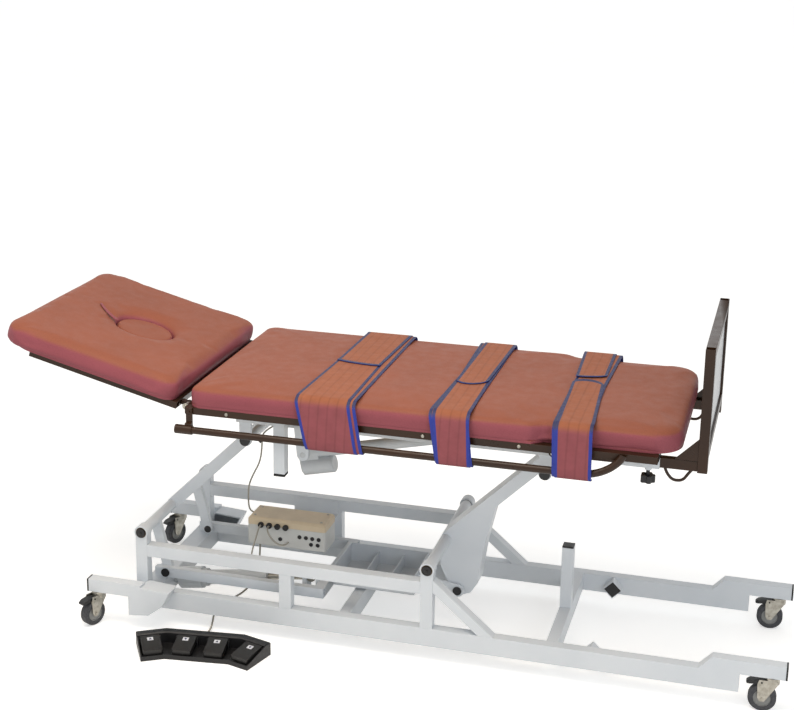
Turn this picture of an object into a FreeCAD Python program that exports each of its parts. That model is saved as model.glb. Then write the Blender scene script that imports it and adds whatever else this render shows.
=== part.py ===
import FreeCAD, Part
import math
import os

# A tilt table: a padded top on a lifting and tilting steel frame with four casters.
# X runs along the table from the head end to the foot end, Y across it, Z up from the floor.
# X = 0 is the axis of the head end crank, Y = 0 the centre plane, near side is -Y.

V = FreeCAD.Vector
ALONG = V(1, 0, 0)
ACROSS = V(0, 1, 0)
UP = V(0, 0, 1)

# Fits and gaps
running_fit = 0.05
side_gap = 1.0
soft_gap = 0.4
tube_wall = 2.0

# Base rails
tube_width = 33.0
base_half_width = 265.0
rail_bottom = 48.0
rail_height = 55.0
rail_start = -20.0
rise_start = 1616.0
rise_length = 34.0
block_end = 1724.0
outrigger_bottom = 100.0
outrigger_height = 39.5
foot_outrigger_end = 1843.0

# Head outriggers
head_outrigger_start = -146.0
head_outrigger_end = 20.0
head_outrigger_half_width = 325.0
side_block_length = 129.0
side_block_drop = 7.0
cast_wall = 5.0

# Side frames
upper_rail_bottom = 207.0
upper_rail_height = 37.0
post_width = 36.0
post_top_radius = 21.0
middle_post_x = 445.0
crank_spacing = 863.0
crank_height = 280.0
brace_foot_x = 1055.0
brace_top_z = 252.0
brace_width_along = 44.0
head_cross_start = -18.0
head_cross_width = 60.0
middle_cross_x = 600.0
foot_cross_x = 1200.0
centre_post_top = 294.0
stub_x = 1326.0
stub_size = 40.0
stub_reach = 34.0
cap_thickness = 5.0

# Cranks and lift arms
shaft_radius = 12.0
torque_tube_radius = 16.0
bush_wall = 4.0
arm_reach_x = 309.0
arm_reach_z = 303.0
arm_width = 76.0
arm_depth = 35.0
lever_x = 40.0
lever_z = -155.0
lever_inner = 150.0
lever_thickness = 15.0
lever_width = 30.0
pin_radius = 8.0
pin_head = 4.0
crank_plate_thickness = 5.0

# Drawbar
link_height = 30.0
link_width = 20.0
link_start = 6.0
cross_member_start = 506.0
cross_member_width = 30.0
tray_half_width = 90.0
tray_floor = 112.0
tray_rim = 172.0
tray_end = 784.0
tray_sheet = 3.0
tongue_thickness = 6.0
tongue_gap = 3.0
tongue_round = 20.0

# Lift actuator
lift_y = -115.0
lift_motor_x = 60.0
lift_motor_z = 80.0
lift_slope = 8.5
lift_motor_radius = 33.0
lift_motor_length = 75.0
lift_tube_radius = 22.0
lift_tube_end = 285.0
lift_rod_radius = 10.0
lift_rod_tail = 154.0
lift_eye_at = 423.0
lift_eye_radius = 14.0
lift_pin_radius = 7.0
lug_start = 456.0
lug_bottom = 86.0
lug_top = 162.0
lug_thickness = 8.0
lug_window_start = 468.0
lug_window_end = 497.0
lug_window_low = 95.0
lug_window_high = 153.0

# Carriage
carriage_rail_inner = 190.0
carriage_rail_width = 30.0
carriage_bottom = 640.0
carriage_height = 40.0
carriage_start = 285.0
tilt_x = 1200.0
tilt_z = 660.0
carriage_overhang = 20.0
cross_tube_height = 30.0
leg_x = 430.0
leg_bottom = 507.5
leg_foot_height = 8.0
second_cross_x = 1095.0
lug_width = 36.0
carriage_lug_thickness = 10.0
stop_pad_size = 20.0

# Tilt actuator
tilt_rod_y = -80.0
tilt_rear_x = 445.0
tilt_rear_z = 515.0
tilt_front_x = 950.0
tilt_front_z = 628.0
tilt_tube_radius = 17.0
tilt_tube_start = 28.0
tilt_tube_end = 470.0
tilt_inner_radius = 11.0
tilt_rod_tail = 50.0
tilt_eye_radius = 16.0
tilt_eye_width = 30.0
tilt_motor_radius = 26.0
tilt_motor_length = 96.0
tilt_motor_drop = 41.0
hanger_thickness = 6.0
ear_thickness = 6.0
ear_radius = 22.0

# Table top frame
table_frame_bottom = 690.0
table_frame_height = 20.0
table_frame_width = 25.0
table_frame_half_width = 330.0
table_frame_start = 176.0
table_frame_end = 1480.0
bracket_inner = 222.0
bracket_thickness = 14.0
deck_thickness = 8.0
deck_inset = 6.0
cushion_top = 774.0
cushion_half_width = 336.5
cushion_start = 179.0
cushion_end = 1540.0
cushion_step_x = 1150.0
cushion_step_length = 30.0
cushion_step = 25.0
cushion_chamfer = 9.0
small_corner = 45.0
large_corner = 90.0
screw_head_radius = 5.0
screw_head_height = 3.0
screw_places = (300.0, 590.0, 675.0, 860.0, 960.0, 1120.0)

# Accessory rails
rail_radius = 10.0
rail_y = 347.0
rail_z = 650.0
rail_x_start = 155.0
rail_bend_x = 1346.0
rail_end_x = 1393.0
rail_bend_length = 60.0
rail_sleeve_length = 50.0
rail_sleeve_wall = 3.0
rail_bracket_x = 191.0
rail_bracket_width = 18.0

# Straps: start, width
strap_thickness = 3.0
straps = ((520.0, 150.0), (888.0, 97.0), (1216.0, 96.0))

# Head section, laid flat first and then raised about its hinge
hinge_x = 165.0
hinge_z = 700.0
head_raise = 14.0
head_frame_start = -320.0
head_frame_gap = 21.0
head_frame_half_width = 315.0
head_cushion_start = -400.0
head_cushion_gap = 28.0
knuckle_radius = 9.0
knuckle_width = 18.0
knuckle_y = 282.0
hinge_pin_radius = 5.0
plug_x = -108.0
plug_length = 175.0
plug_width = 145.0
plug_sink = 14.0
plug_gap = 0.5
breathing_inset = 12.0

# Footboard
board_x = 1576.0
board_depth = 26.0
board_bottom = 655.0
board_top = 990.0
board_half_width = 265.0
board_post = 25.0
board_panel_thickness = 12.0
board_panel_bottom = 715.0
arm_tube_width = 22.0
arm_tube_height = 28.0
arm_tube_start = 1300.0
arm_tube_bottom = 658.0
sleeve_start = 1380.0
sleeve_end = 1480.0
sleeve_clearance = 0.5
sleeve_sheet = 3.0
knob_x = 1450.0
knob_radius = 20.0
knob_height = 20.0
knob_bottom = 612.0
knob_stem_radius = 5.0
knob_lobes = 5
gusset_length = 60.0

# Casters: place of the swivel axis, turn about it, side name
caster_foot_x = 1810.0
caster_foot_y = 248.5
caster_head_x = -122.0
caster_head_y = 308.5
caster_turn_head = 65.0
caster_trail = 24.0
wheel_radius = 37.5
wheel_width = 25.0
hub_radius = 27.0
axle_radius = 4.0
caster_plate_radius = 20.0
caster_plate_thickness = 6.0
kingpin_radius = 5.0
crown_radius = 19.0
crown_height = 12.0
cheek_thickness = 2.5
pedal_pivot_x = -27.0
pedal_pivot_z = 85.0
pedal_pin_radius = 2.5

# Control box
box_start = 256.0
box_end = 502.0
box_near_y = -60.0
box_far_y = 40.0
box_bottom = 197.0
box_height = 86.0
box_lid_height = 24.0
box_wall = 3.0
socket_radius = 9.0
socket_depth = 8.0
socket_pitch = 26.0
socket_count = 4
shelf_thickness = 3.0

# Foot switch: a housing whose two end parts are bent forward by switch_bend
switch_x = 239.5
switch_y = -402.0
switch_turn = 7.5
switch_bend = 23.5
switch_middle_half = 116.0
switch_wing_length = 90.0
switch_depth = 113.0
switch_floor = 6.0
switch_back_height = 40.0
switch_back_depth = 26.0
switch_rim_height = 14.0
switch_rim = 4.0
switch_wall = 3.0
pedal_count = 4
middle_pedal_x = 46.0
wing_pedal_at = 54.0
pedal_width = 56.0
pedal_pin = 3.0
pedal_pin_z = 25.0
pedal_lug = 3.5
relief_x = -4.0
relief_length = 30.0
relief_radius = 6.0

# Cords: diameter and chosen points of each route
cord_diameter = 6.0
cable_diameter = 5.0

switch_cord_route = (
    (224.2, -316.6, 14.0), (222.2, -301.0, 14.0), (219.5, -280.0, 11.0), (212.0, -248.0, 10.0),
    (201.0, -208.0, 18.0), (199.0, -178.0, 27.0), (207.0, -146.0, 30.0), (226.0, -112.0, 33.0),
    (252.0, -80.0, 45.0), (272.0, -52.0, 72.0), (281.0, -34.0, 112.0), (284.0, -30.0, 158.0),
    (285.0, -30.0, 197.0))
actuator_cable_route = (
    (300.0, -68.0, 262.0), (300.5, -82.0, 261.0), (299.5, -93.0, 249.0), (296.0, -101.0, 231.0),
    (291.0, -108.0, 208.0), (287.0, -113.5, 184.0), (285.2, -115.0, 162.0), (285.0, -115.0, 142.0))
loop_cable_route = (
    (326.0, -68.0, 262.0), (327.0, -84.0, 262.0), (334.0, -97.0, 254.0), (345.0, -101.0, 240.0),
    (359.0, -99.0, 226.0), (373.0, -93.0, 217.0), (383.5, -80.0, 214.0), (385.0, -60.2, 214.0))
tilt_cable_route = (
    (255.8, 20.0, 262.0), (239.0, 21.0, 262.5), (225.0, 34.0, 272.0), (217.0, 52.0, 298.0),
    (217.0, 58.0, 335.0), (233.0, 58.0, 373.0), (252.0, 57.0, 408.0), (261.0, 57.0, 447.0),
    (262.0, 57.0, 486.0), (277.0, 57.0, 519.0), (308.0, 57.0, 541.0), (345.0, 57.0, 562.0),
    (374.0, 57.0, 592.0), (384.0, 57.0, 621.0), (389.0, 57.0, 646.0), (397.0, 57.0, 659.0),
    (413.2, 57.0, 660.0))


def block(x0, x1, y0, y1, z0, z1):
    return Part.makeBox(x1 - x0, y1 - y0, z1 - z0, V(x0, y0, z0))


def mirrored(shape):
    return shape.mirror(V(0, 0, 0), ACROSS)


def both_sides(shape):
    return [shape, mirrored(shape)]


def fused(shapes):
    whole = shapes[0]
    for shape in shapes[1:]:
        whole = whole.fuse(shape)
    return whole.removeSplitter()


def side_plate(points, y0, y1):
    """A plate whose outline is given in X and Z, from y0 to y1."""
    corners = [V(x, y0, z) for x, z in points]
    return Part.Face(Part.makePolygon(corners + corners[:1])).extrude(V(0, y1 - y0, 0))


def cross_section_bar(points, x0, x1):
    """A bar whose outline is given in Y and Z, from x0 to x1."""
    corners = [V(x0, y, z) for y, z in points]
    return Part.Face(Part.makePolygon(corners + corners[:1])).extrude(V(x1 - x0, 0, 0))


def disc(x, z, y0, y1, radius):
    """A round bar across the table, from y0 to y1."""
    return Part.makeCylinder(radius, y1 - y0, V(x, y0, z), ACROSS)


def tube_along(x0, x1, y0, y1, z0, z1, wall=tube_wall):
    inner = block(x0 - 1, x1 + 1, y0 + wall, y1 - wall, z0 + wall, z1 - wall)
    return block(x0, x1, y0, y1, z0, z1).cut(inner)


def tube_across(x0, x1, y0, y1, z0, z1, wall=tube_wall):
    inner = block(x0 + wall, x1 - wall, y0 - 1, y1 + 1, z0 + wall, z1 - wall)
    return block(x0, x1, y0, y1, z0, z1).cut(inner)


def tube_up(x0, x1, y0, y1, z0, z1, wall=tube_wall):
    inner = block(x0 + wall, x1 - wall, y0 + wall, y1 - wall, z0 - 1, z1 + 1)
    return block(x0, x1, y0, y1, z0, z1).cut(inner)


def rounded(solid, radius, wanted):
    """Rounds the edges for which wanted(middle point, direction) is true."""
    edges = []
    for edge in solid.Edges:
        start, end = edge.firstVertex().Point, edge.lastVertex().Point
        direction = end.sub(start)
        if direction.Length > 0 and wanted(start.add(end).multiply(0.5), direction.normalize()):
            edges.append(edge)
    return solid.makeFillet(radius, edges)


def upright(direction):
    return abs(direction.z) > 0.99


def placed_on_line(shape, x, y, z, slope):
    """Moves a shape made along +X from the origin to a line that rises by slope degrees."""
    shape.rotate(V(0, 0, 0), ACROSS, -slope)
    shape.translate(V(x, y, z))
    return shape


def route_wire(points):
    """Straight runs joined by tangent arcs, each arc as large as its two runs allow."""
    route = [V(*point) for point in points]
    edges, last, radii = [], route[0], []
    for before, corner, after in zip(route, route[1:], route[2:]):
        back, ahead = before.sub(corner), after.sub(corner)
        shorter = min(back.Length, ahead.Length)
        back.normalize()
        ahead.normalize()
        turn = math.pi - back.getAngle(ahead)
        reach = 0.45 * shorter
        radius = reach / math.tan(turn / 2)
        radii.append(radius)
        start = corner.add(V(back).multiply(reach))
        end = corner.add(V(ahead).multiply(reach))
        inward = V(back).add(ahead).normalize()
        centre_distance = math.hypot(radius, reach)
        middle = corner.add(V(inward).multiply(centre_distance - radius))
        edges.append(Part.LineSegment(last, start).toShape())
        edges.append(Part.Arc(start, middle, end).toShape())
        last = end
    edges.append(Part.LineSegment(last, route[-1]).toShape())
    return Part.Wire(edges), radii


def route_tube(points, diameter, name=""):
    wire, radii = route_wire(points)
    direction = V(*points[1]).sub(V(*points[0]))
    circle = Part.makeCircle(diameter / 2, V(*points[0]), direction)
    tube = wire.makePipeShell([Part.Wire(circle)], True, False)
    if name:
        expected = math.pi * diameter ** 2 / 4 * wire.Length
        print(name, "length", round(wire.Length), "smallest radius", round(min(radii), 1),
              "volume ratio", round(tube.Volume / expected, 4))
    return tube


def save(name, shapes):
    if not isinstance(shapes, list):
        shapes = [shapes]
    solids = [solid for shape in shapes for solid in shape.Solids]
    Part.Compound(solids).exportStep("parts/" + name + ".step")


# Values that follow from the driving dimensions
rail_top = rail_bottom + rail_height
base_inner = base_half_width - tube_width
outrigger_top = outrigger_bottom + outrigger_height
upper_rail_top = upper_rail_bottom + upper_rail_height
head_outrigger_inner = head_outrigger_half_width - tube_width
arm_length = math.hypot(arm_reach_x, arm_reach_z)
arm_angle = math.degrees(math.atan2(arm_reach_z, arm_reach_x))
arm_top_z = crank_height + arm_reach_z
lower_pivot_z = crank_height + lever_z
link_inner = lever_inner + lever_thickness + side_gap
link_outer = link_inner + link_width
link_bottom = lower_pivot_z - link_height / 2
link_top = lower_pivot_z + link_height / 2
cross_member_end = cross_member_start + cross_member_width
carriage_top = carriage_bottom + carriage_height
carriage_end = tilt_x + carriage_overhang
carriage_rail_outer = carriage_rail_inner + carriage_rail_width
cross_tube_bottom = tilt_z - cross_tube_height / 2
cross_tube_top = tilt_z + cross_tube_height / 2
table_frame_top = table_frame_bottom + table_frame_height
table_frame_inner = table_frame_half_width - table_frame_width
cushion_bottom = table_frame_top + deck_thickness
tilt_length = math.hypot(tilt_front_x - tilt_rear_x, tilt_front_z - tilt_rear_z)
tilt_slope = math.degrees(math.atan2(tilt_front_z - tilt_rear_z, tilt_front_x - tilt_rear_x))
bush_radius = shaft_radius + running_fit + bush_wall
switch_back = switch_depth / 2
pedal_pivot_y = switch_back - switch_back_depth - 6
casters = {
    "foot_near": (caster_foot_x, -caster_foot_y, 0.0),
    "foot_far": (caster_foot_x, caster_foot_y, 0.0),
    "head_near": (caster_head_x, -caster_head_y, caster_turn_head),
    "head_far": (caster_head_x, caster_head_y, caster_turn_head),
}


# Base frame

def base_rail():
    """Long rail with the raised block and outrigger at its foot end, open at both ends."""
    def outline(inset, past_end):
        start, end = rail_start - past_end, foot_outrigger_end + past_end
        shift = inset * 0.4
        return [(start, rail_bottom + inset), (block_end - inset, rail_bottom + inset),
                (block_end - inset, outrigger_bottom + inset), (end, outrigger_bottom + inset),
                (end, outrigger_top - inset), (rise_start + rise_length + shift, outrigger_top - inset),
                (rise_start + shift, rail_top - inset), (start, rail_top - inset)]
    outer = side_plate(outline(0, 0), -base_half_width, -base_inner)
    inner = side_plate(outline(tube_wall, 1), -base_half_width + tube_wall, -base_inner - tube_wall)
    return outer.cut(inner)


def pivot_post(x):
    """Upright with a round top that carries one end of a crank's torque tube."""
    half = post_width / 2
    shank = tube_up(x - half, x + half, -base_half_width, -base_inner, rail_top, crank_height)
    head = disc(x, crank_height, -base_half_width, -base_inner, post_top_radius)
    bore = disc(x, crank_height, -base_half_width - 1, -base_inner + 1, bush_radius)
    return shank.cut(bore).fuse(head.cut(bore)).removeSplitter()


def side_frame():
    half = post_width / 2
    near, inner = -base_half_width, -base_inner
    pieces = [pivot_post(0.0), pivot_post(crank_spacing)]
    pieces.append(tube_along(half, crank_spacing - half, near, inner, upper_rail_bottom, upper_rail_top))
    pieces.append(tube_up(middle_post_x - half, middle_post_x + half, near, inner,
                          rail_top, upper_rail_bottom))
    post_side = crank_spacing + half
    fall = (brace_top_z - rail_top) / (brace_foot_x - post_side) * brace_width_along
    outline = [(post_side, brace_top_z), (brace_foot_x, rail_top),
               (brace_foot_x - brace_width_along, rail_top), (post_side, brace_top_z - fall)]
    brace = side_plate(outline, near, inner)
    hollow = side_plate(outline, near + tube_wall, inner - tube_wall)
    core = hollow.translated(V(0, 0, -tube_wall * 1.6)).common(hollow.translated(V(0, 0, tube_wall * 1.6)))
    pieces.append(brace.cut(core))
    return pieces


def base_cross_tubes():
    pieces = []
    for start, width in ((head_cross_start, head_cross_width), (middle_cross_x, tube_width),
                         (foot_cross_x, tube_width)):
        pieces.append(tube_across(start, start + width, -base_inner, base_inner, rail_bottom, rail_top))
    half = tube_width / 2
    post_x = foot_cross_x + half
    pieces.append(tube_up(post_x - half, post_x + half, -half, half, rail_top, centre_post_top - cap_thickness))
    stub = tube_across(-stub_size / 2, stub_size / 2, -base_inner, -base_inner + stub_reach,
                       -stub_size / 2, stub_size / 2)
    stub.rotate(V(0, 0, 0), ACROSS, 45)
    stub.translate(V(stub_x, 0, (rail_bottom + rail_top) / 2))
    pieces += both_sides(stub)
    return pieces


def head_outrigger():
    """Short tube that carries a head caster, with the cast block that joins it to the rail."""
    outer, inner = -head_outrigger_half_width, -head_outrigger_inner
    tube = block(head_outrigger_start, head_outrigger_end, outer, inner, outrigger_bottom, outrigger_top)
    tube_core = block(head_outrigger_start - 1, rail_start, outer + tube_wall, inner - tube_wall,
                      outrigger_bottom + tube_wall, outrigger_top - tube_wall)
    start = rail_start
    end = start + side_block_length

    def outline(inset):
        return [(start + inset, rail_bottom - side_block_drop + 2 * inset),
                (start + inset, rail_top + 3 - inset), (start + 43, rail_top + 30 - inset),
                (end - inset, rail_top + 24 - inset), (end - 23 - inset, rail_top - 22),
                (end - 66 - inset, rail_bottom + inset)]
    cast = side_plate(outline(0), outer, -base_half_width)
    pocket = side_plate(outline(cast_wall), outer + cast_wall, -base_half_width + 1)
    return tube.fuse(cast).cut(pocket).cut(tube_core).removeSplitter()


def frame_caps():
    """Black plastic caps on the tube ends and pivots of the base."""
    caps = []
    inset = tube_wall + soft_gap
    for x in (0.0, crank_spacing):
        caps += both_sides(disc(x, crank_height, -base_half_width - cap_thickness, -base_half_width,
                                shaft_radius + 2))
    foot_cap = block(foot_outrigger_end, foot_outrigger_end + cap_thickness, -base_half_width, -base_inner,
                     outrigger_bottom, outrigger_top)
    foot_plug = block(foot_outrigger_end - 12, foot_outrigger_end, -base_half_width + inset,
                      -base_inner - inset, outrigger_bottom + inset, outrigger_top - inset)
    caps += both_sides(foot_cap.fuse(foot_plug).removeSplitter())
    head_cap = block(head_outrigger_start - cap_thickness, head_outrigger_start,
                     -head_outrigger_half_width, -head_outrigger_inner, outrigger_bottom, outrigger_top)
    caps += both_sides(head_cap)
    half = tube_width / 2
    post_x = foot_cross_x + half
    caps.append(block(post_x - half, post_x + half, -half, half, centre_post_top - cap_thickness,
                      centre_post_top))
    return caps


def pivot_bushes():
    bushes = []
    for x in (0.0, crank_spacing):
        ring = disc(x, crank_height, -base_half_width, -base_inner, bush_radius)
        ring = ring.cut(disc(x, crank_height, -base_half_width - 1, -base_inner + 1,
                             shaft_radius + running_fit))
        bushes += both_sides(ring)
    return bushes


# Casters

def turned(shape, caster):
    x, y, turn = casters[caster]
    shape.rotate(V(0, 0, 0), UP, turn)
    shape.translate(V(x, y, 0))
    return shape


def caster_mount():
    plate_bottom = outrigger_bottom - caster_plate_thickness
    plate = Part.makeCylinder(caster_plate_radius, caster_plate_thickness, V(0, 0, plate_bottom))
    crown_bottom = plate_bottom - 0.5 - crown_height
    pin = Part.makeCylinder(kingpin_radius, plate_bottom - crown_bottom + 1, V(0, 0, crown_bottom - 1))
    head = Part.makeCylinder(kingpin_radius + 3, 4, V(0, 0, crown_bottom - 4.5))
    return fused([plate, pin, head])


def caster_fork():
    crown_top = outrigger_bottom - caster_plate_thickness - 0.5
    crown_bottom = crown_top - crown_height
    crown = Part.makeCylinder(crown_radius, crown_height, V(0, 0, crown_bottom))
    cheek_inner = wheel_width / 2 + side_gap
    outline = [(14, crown_top - 1), (-34, crown_top - 1), (-38, 80), (-36, 40), (-30, 30), (-18, 30),
               (-12, 40), (14, crown_bottom)]
    cheek = side_plate(outline, -cheek_inner - cheek_thickness, -cheek_inner)
    cheek = cheek.cut(disc(pedal_pivot_x, pedal_pivot_z, -30, 30, pedal_pin_radius + running_fit))
    axle = disc(-caster_trail, wheel_radius, -cheek_inner - cheek_thickness - 2,
                cheek_inner + cheek_thickness + 2, axle_radius)
    fork = fused([crown, cheek, mirrored(cheek), axle])
    return fork.cut(Part.makeCylinder(kingpin_radius + running_fit, 60, V(0, 0, crown_bottom - 20)))


def caster_wheel():
    half = wheel_width / 2
    tyre = disc(-caster_trail, wheel_radius, -half, half, wheel_radius)
    tyre = tyre.makeFillet(4, [edge for edge in tyre.Edges if abs(abs(edge.CenterOfMass.y) - half) < 0.01])
    tyre = tyre.cut(disc(-caster_trail, wheel_radius, -half - 1, half + 1, hub_radius))
    hub = disc(-caster_trail, wheel_radius, -half, half, hub_radius)
    recess = disc(-caster_trail, wheel_radius, -half - 1, -half + 4, hub_radius - 4)
    recess = recess.cut(disc(-caster_trail, wheel_radius, -half - 2, -half + 5, 9))
    hub = hub.cut(recess).cut(mirrored(recess))
    hub = hub.cut(disc(-caster_trail, wheel_radius, -half - 1, half + 1, axle_radius + running_fit))
    return [tyre, hub]


def caster_brake():
    """Foot lever between the fork's cheeks that presses on the tyre."""
    half = wheel_width / 2
    outline = [(-21, 79), (-21, 89), (-32, 90), (-62, 85), (-68, 80), (-67, 76), (-58, 76), (-36, 79)]
    lever = side_plate(outline, -half, half)
    lever = rounded(lever, 5, lambda middle, way: upright(way) or (middle.x < -60 and abs(way.y) < 0.1
                                                                  and abs(way.z) > 0.6))
    pin = disc(pedal_pivot_x, pedal_pivot_z, -half - side_gap - cheek_thickness - 1,
               half + side_gap + cheek_thickness + 1, pedal_pin_radius)
    return fused([lever, pin])


# Lift cranks

def crank_weldment(x, levers):
    """Torque tube with its stub shafts and the box arm that lifts the carriage."""
    tube_end = base_inner - side_gap
    torque = disc(x, crank_height, -tube_end, tube_end, torque_tube_radius)
    stubs = disc(x, crank_height, -base_half_width, base_half_width, shaft_radius)
    half = arm_width / 2
    arm = Part.makeBox(arm_length, arm_width, arm_depth, V(0, -half, -arm_depth / 2))
    arm = arm.fuse(disc(arm_length, 0, -half, half, arm_depth / 2))
    core = Part.makeBox(arm_length - 60, arm_width - 2 * tube_wall, arm_depth - 2 * tube_wall,
                        V(30, -half + tube_wall, -arm_depth / 2 + tube_wall))
    arm = placed_on_line(arm.cut(core), x, 0, crank_height, arm_angle)
    weldment = fused([torque, stubs, arm] + levers)
    bore = disc(x + arm_reach_x, arm_top_z, -half - 1, half + 1, shaft_radius)
    return weldment.cut(bore)


def arm_shaft(x):
    """Cross shaft in the end of a lift arm, with a cap at each end."""
    reach = carriage_rail_inner + 10 + carriage_lug_thickness + 0.5
    bar = disc(x + arm_reach_x, arm_top_z, -reach - 5, reach + 5, shaft_radius)
    cap = disc(x + arm_reach_x, arm_top_z, -reach - 6, -reach, shaft_radius + 3)
    return fused([bar, cap, mirrored(cap)])


def head_levers():
    """The two levers that pull the drawbar, each with its pivot pin."""
    angle = math.degrees(math.atan2(lever_z, lever_x))
    length = math.hypot(lever_x, lever_z)
    lever = Part.makeBox(length, lever_thickness, lever_width,
                         V(0, -lever_inner - lever_thickness, -lever_width / 2))
    lever = lever.fuse(disc(length, 0, -lever_inner - lever_thickness, -lever_inner, lever_width / 2))
    lever = placed_on_line(lever, 0, 0, crank_height, angle)
    pin = disc(lever_x, lower_pivot_z, -link_outer - side_gap - pin_head, -lever_inner, pin_radius)
    head = disc(lever_x, lower_pivot_z, -link_outer - side_gap - pin_head, -link_outer - side_gap, 13)
    lever = fused([lever, pin, head])
    return both_sides(lever)


def foot_crank_plates():
    """Side plates from the foot arm down to the drawbar's pivot, closed by a web."""
    x, z = crank_spacing, crank_height
    outline = [(x - 5, z + 20), (x - 15, z - 18), (x - 13, z - 87), (x + 22, z - 160), (x + 42, z - 174),
               (x + 78, z - 160), (x + 98, z - 128), (x + 114, z - 10), (x + 145, z + 124),
               (x + 160, z + 134), (x + 128, z + 150), (x + 60, z + 84)]
    half = arm_width / 2
    outer = side_plate(outline, -half, half)
    gap = [(x - 30, z - 22), (x - 30, z - 84), (x + 17, z - 190), (x + 92, z - 190), (x + 92, z - 126),
           (x + 107, z - 8), (x + 136, z + 118), (x + 92, z + 60), (x + 30, z - 10)]
    inner = half - crank_plate_thickness
    outer = outer.cut(side_plate(gap, -inner, inner))
    reach = half + tongue_gap + tongue_thickness + side_gap
    pin = disc(x + lever_x, lower_pivot_z, -reach - pin_head, reach + pin_head, pin_radius)
    head = disc(x + lever_x, lower_pivot_z, -reach - pin_head, -reach, 13)
    return [outer, fused([pin, head, mirrored(head)])]


# Drawbar

def drawbar_links():
    """Two link tubes from the head levers and the cross member that the actuator pushes."""
    pieces = []
    link = tube_along(link_start, cross_member_end, -link_outer, -link_inner, link_bottom, link_top)
    link = link.cut(disc(lever_x, lower_pivot_z, -link_outer - 1, -link_inner + 1,
                         pin_radius + running_fit))
    pieces += both_sides(link)
    pieces.append(tube_across(cross_member_start, cross_member_end, -link_inner, link_inner,
                              link_bottom, link_top))
    for y in (lift_y - lift_eye_radius - lug_thickness - 2, lift_y + lift_eye_radius + 2):
        lug = block(lug_start, cross_member_start, y, y + lug_thickness, lug_bottom, lug_top)
        window = block(lug_window_start, lug_window_end, y - 1, y + lug_thickness + 1,
                       lug_window_low, lug_window_high)
        lug = rounded(lug, 14, lambda middle, way: abs(way.y) > 0.9 and middle.x < lug_start + 1)
        pieces.append(lug.cut(rounded(window, 6, lambda middle, way: abs(way.y) > 0.9)))
    return pieces


def drawbar_channel():
    """Wide folded tray with dividers and the two tongues that reach the foot crank."""
    half = tray_half_width
    start = cross_member_end
    tray = block(start, tray_end, -half, half, tray_floor, tray_rim)
    tray = tray.cut(block(start + tray_sheet, tray_end - tray_sheet, -half + tray_sheet,
                          half - tray_sheet, tray_floor + tray_sheet, tray_rim + 1))
    dividers = []
    for share in (0.36, 0.68):
        x = start + share * (tray_end - start)
        dividers.append(block(x, x + tray_sheet, -half + tray_sheet, half - tray_sheet,
                              tray_floor + tray_sheet, tray_rim - 18))
    pivot_x = crank_spacing + lever_x
    inner = arm_width / 2 + tongue_gap
    tongue = side_plate([(tray_end, tray_floor), (pivot_x, lower_pivot_z - tongue_round),
                         (pivot_x, lower_pivot_z + tongue_round), (tray_end, tray_rim - 12)],
                        -inner - tongue_thickness, -inner)
    tongue = tongue.fuse(disc(pivot_x, lower_pivot_z, -inner - tongue_thickness, -inner, tongue_round))
    tongue = tongue.cut(disc(pivot_x, lower_pivot_z, -inner - tongue_thickness - 1, -inner + 1,
                             pin_radius + soft_gap)).removeSplitter()
    return [fused([tray] + dividers)] + both_sides(tongue)


# Lift actuator

def lift_actuator():
    motor = Part.makeCylinder(lift_motor_radius, lift_motor_length, V(0, 0, 0), ALONG)
    motor = motor.makeChamfer(4, [edge for edge in motor.Edges if edge.CenterOfMass.x < 1])
    tube = Part.makeCylinder(lift_tube_radius, lift_tube_end - lift_motor_length,
                             V(lift_motor_length, 0, 0), ALONG)
    collar = Part.makeCylinder(lift_tube_radius + 5, 16, V(lift_motor_length, 0, 0), ALONG)
    body = fused([motor, tube, collar])
    bore = Part.makeCylinder(lift_rod_radius + running_fit, lift_tube_end,
                             V(lift_rod_tail - 108, 0, 0), ALONG)
    body = placed_on_line(body.cut(bore), lift_motor_x, lift_y, lift_motor_z, lift_slope)
    clevis = block(head_cross_start + head_cross_width, lift_motor_x + 6, lift_y - 12, lift_y + 12,
                   lift_motor_z - 14, lift_motor_z + 14)
    cable_x, cable_y, cable_z = actuator_cable_route[-1]
    gland = Part.makeCylinder(cable_diameter, lift_tube_radius + lift_rod_radius, V(cable_x, cable_y, cable_z),
                              V(0, 0, -1))
    gland = gland.cut(placed_on_line(Part.makeCylinder(lift_rod_radius + 3, lift_tube_end, V(0, 0, 0), ALONG),
                                     lift_motor_x, lift_y, lift_motor_z, lift_slope))
    return fused([body, clevis, gland])


def lift_rod():
    rod = Part.makeCylinder(lift_rod_radius, lift_eye_at - lift_rod_tail, V(lift_rod_tail, 0, 0), ALONG)
    eye = Part.makeCylinder(lift_eye_radius, 20, V(lift_eye_at, -10, 0), ACROSS)
    reach = lift_eye_radius + 2 + lug_thickness
    pin = Part.makeCylinder(lift_pin_radius, 2 * reach, V(lift_eye_at, -reach, 0), ACROSS)
    return placed_on_line(fused([rod, eye, pin]), lift_motor_x, lift_y, lift_motor_z, lift_slope)


# Carriage

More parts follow.
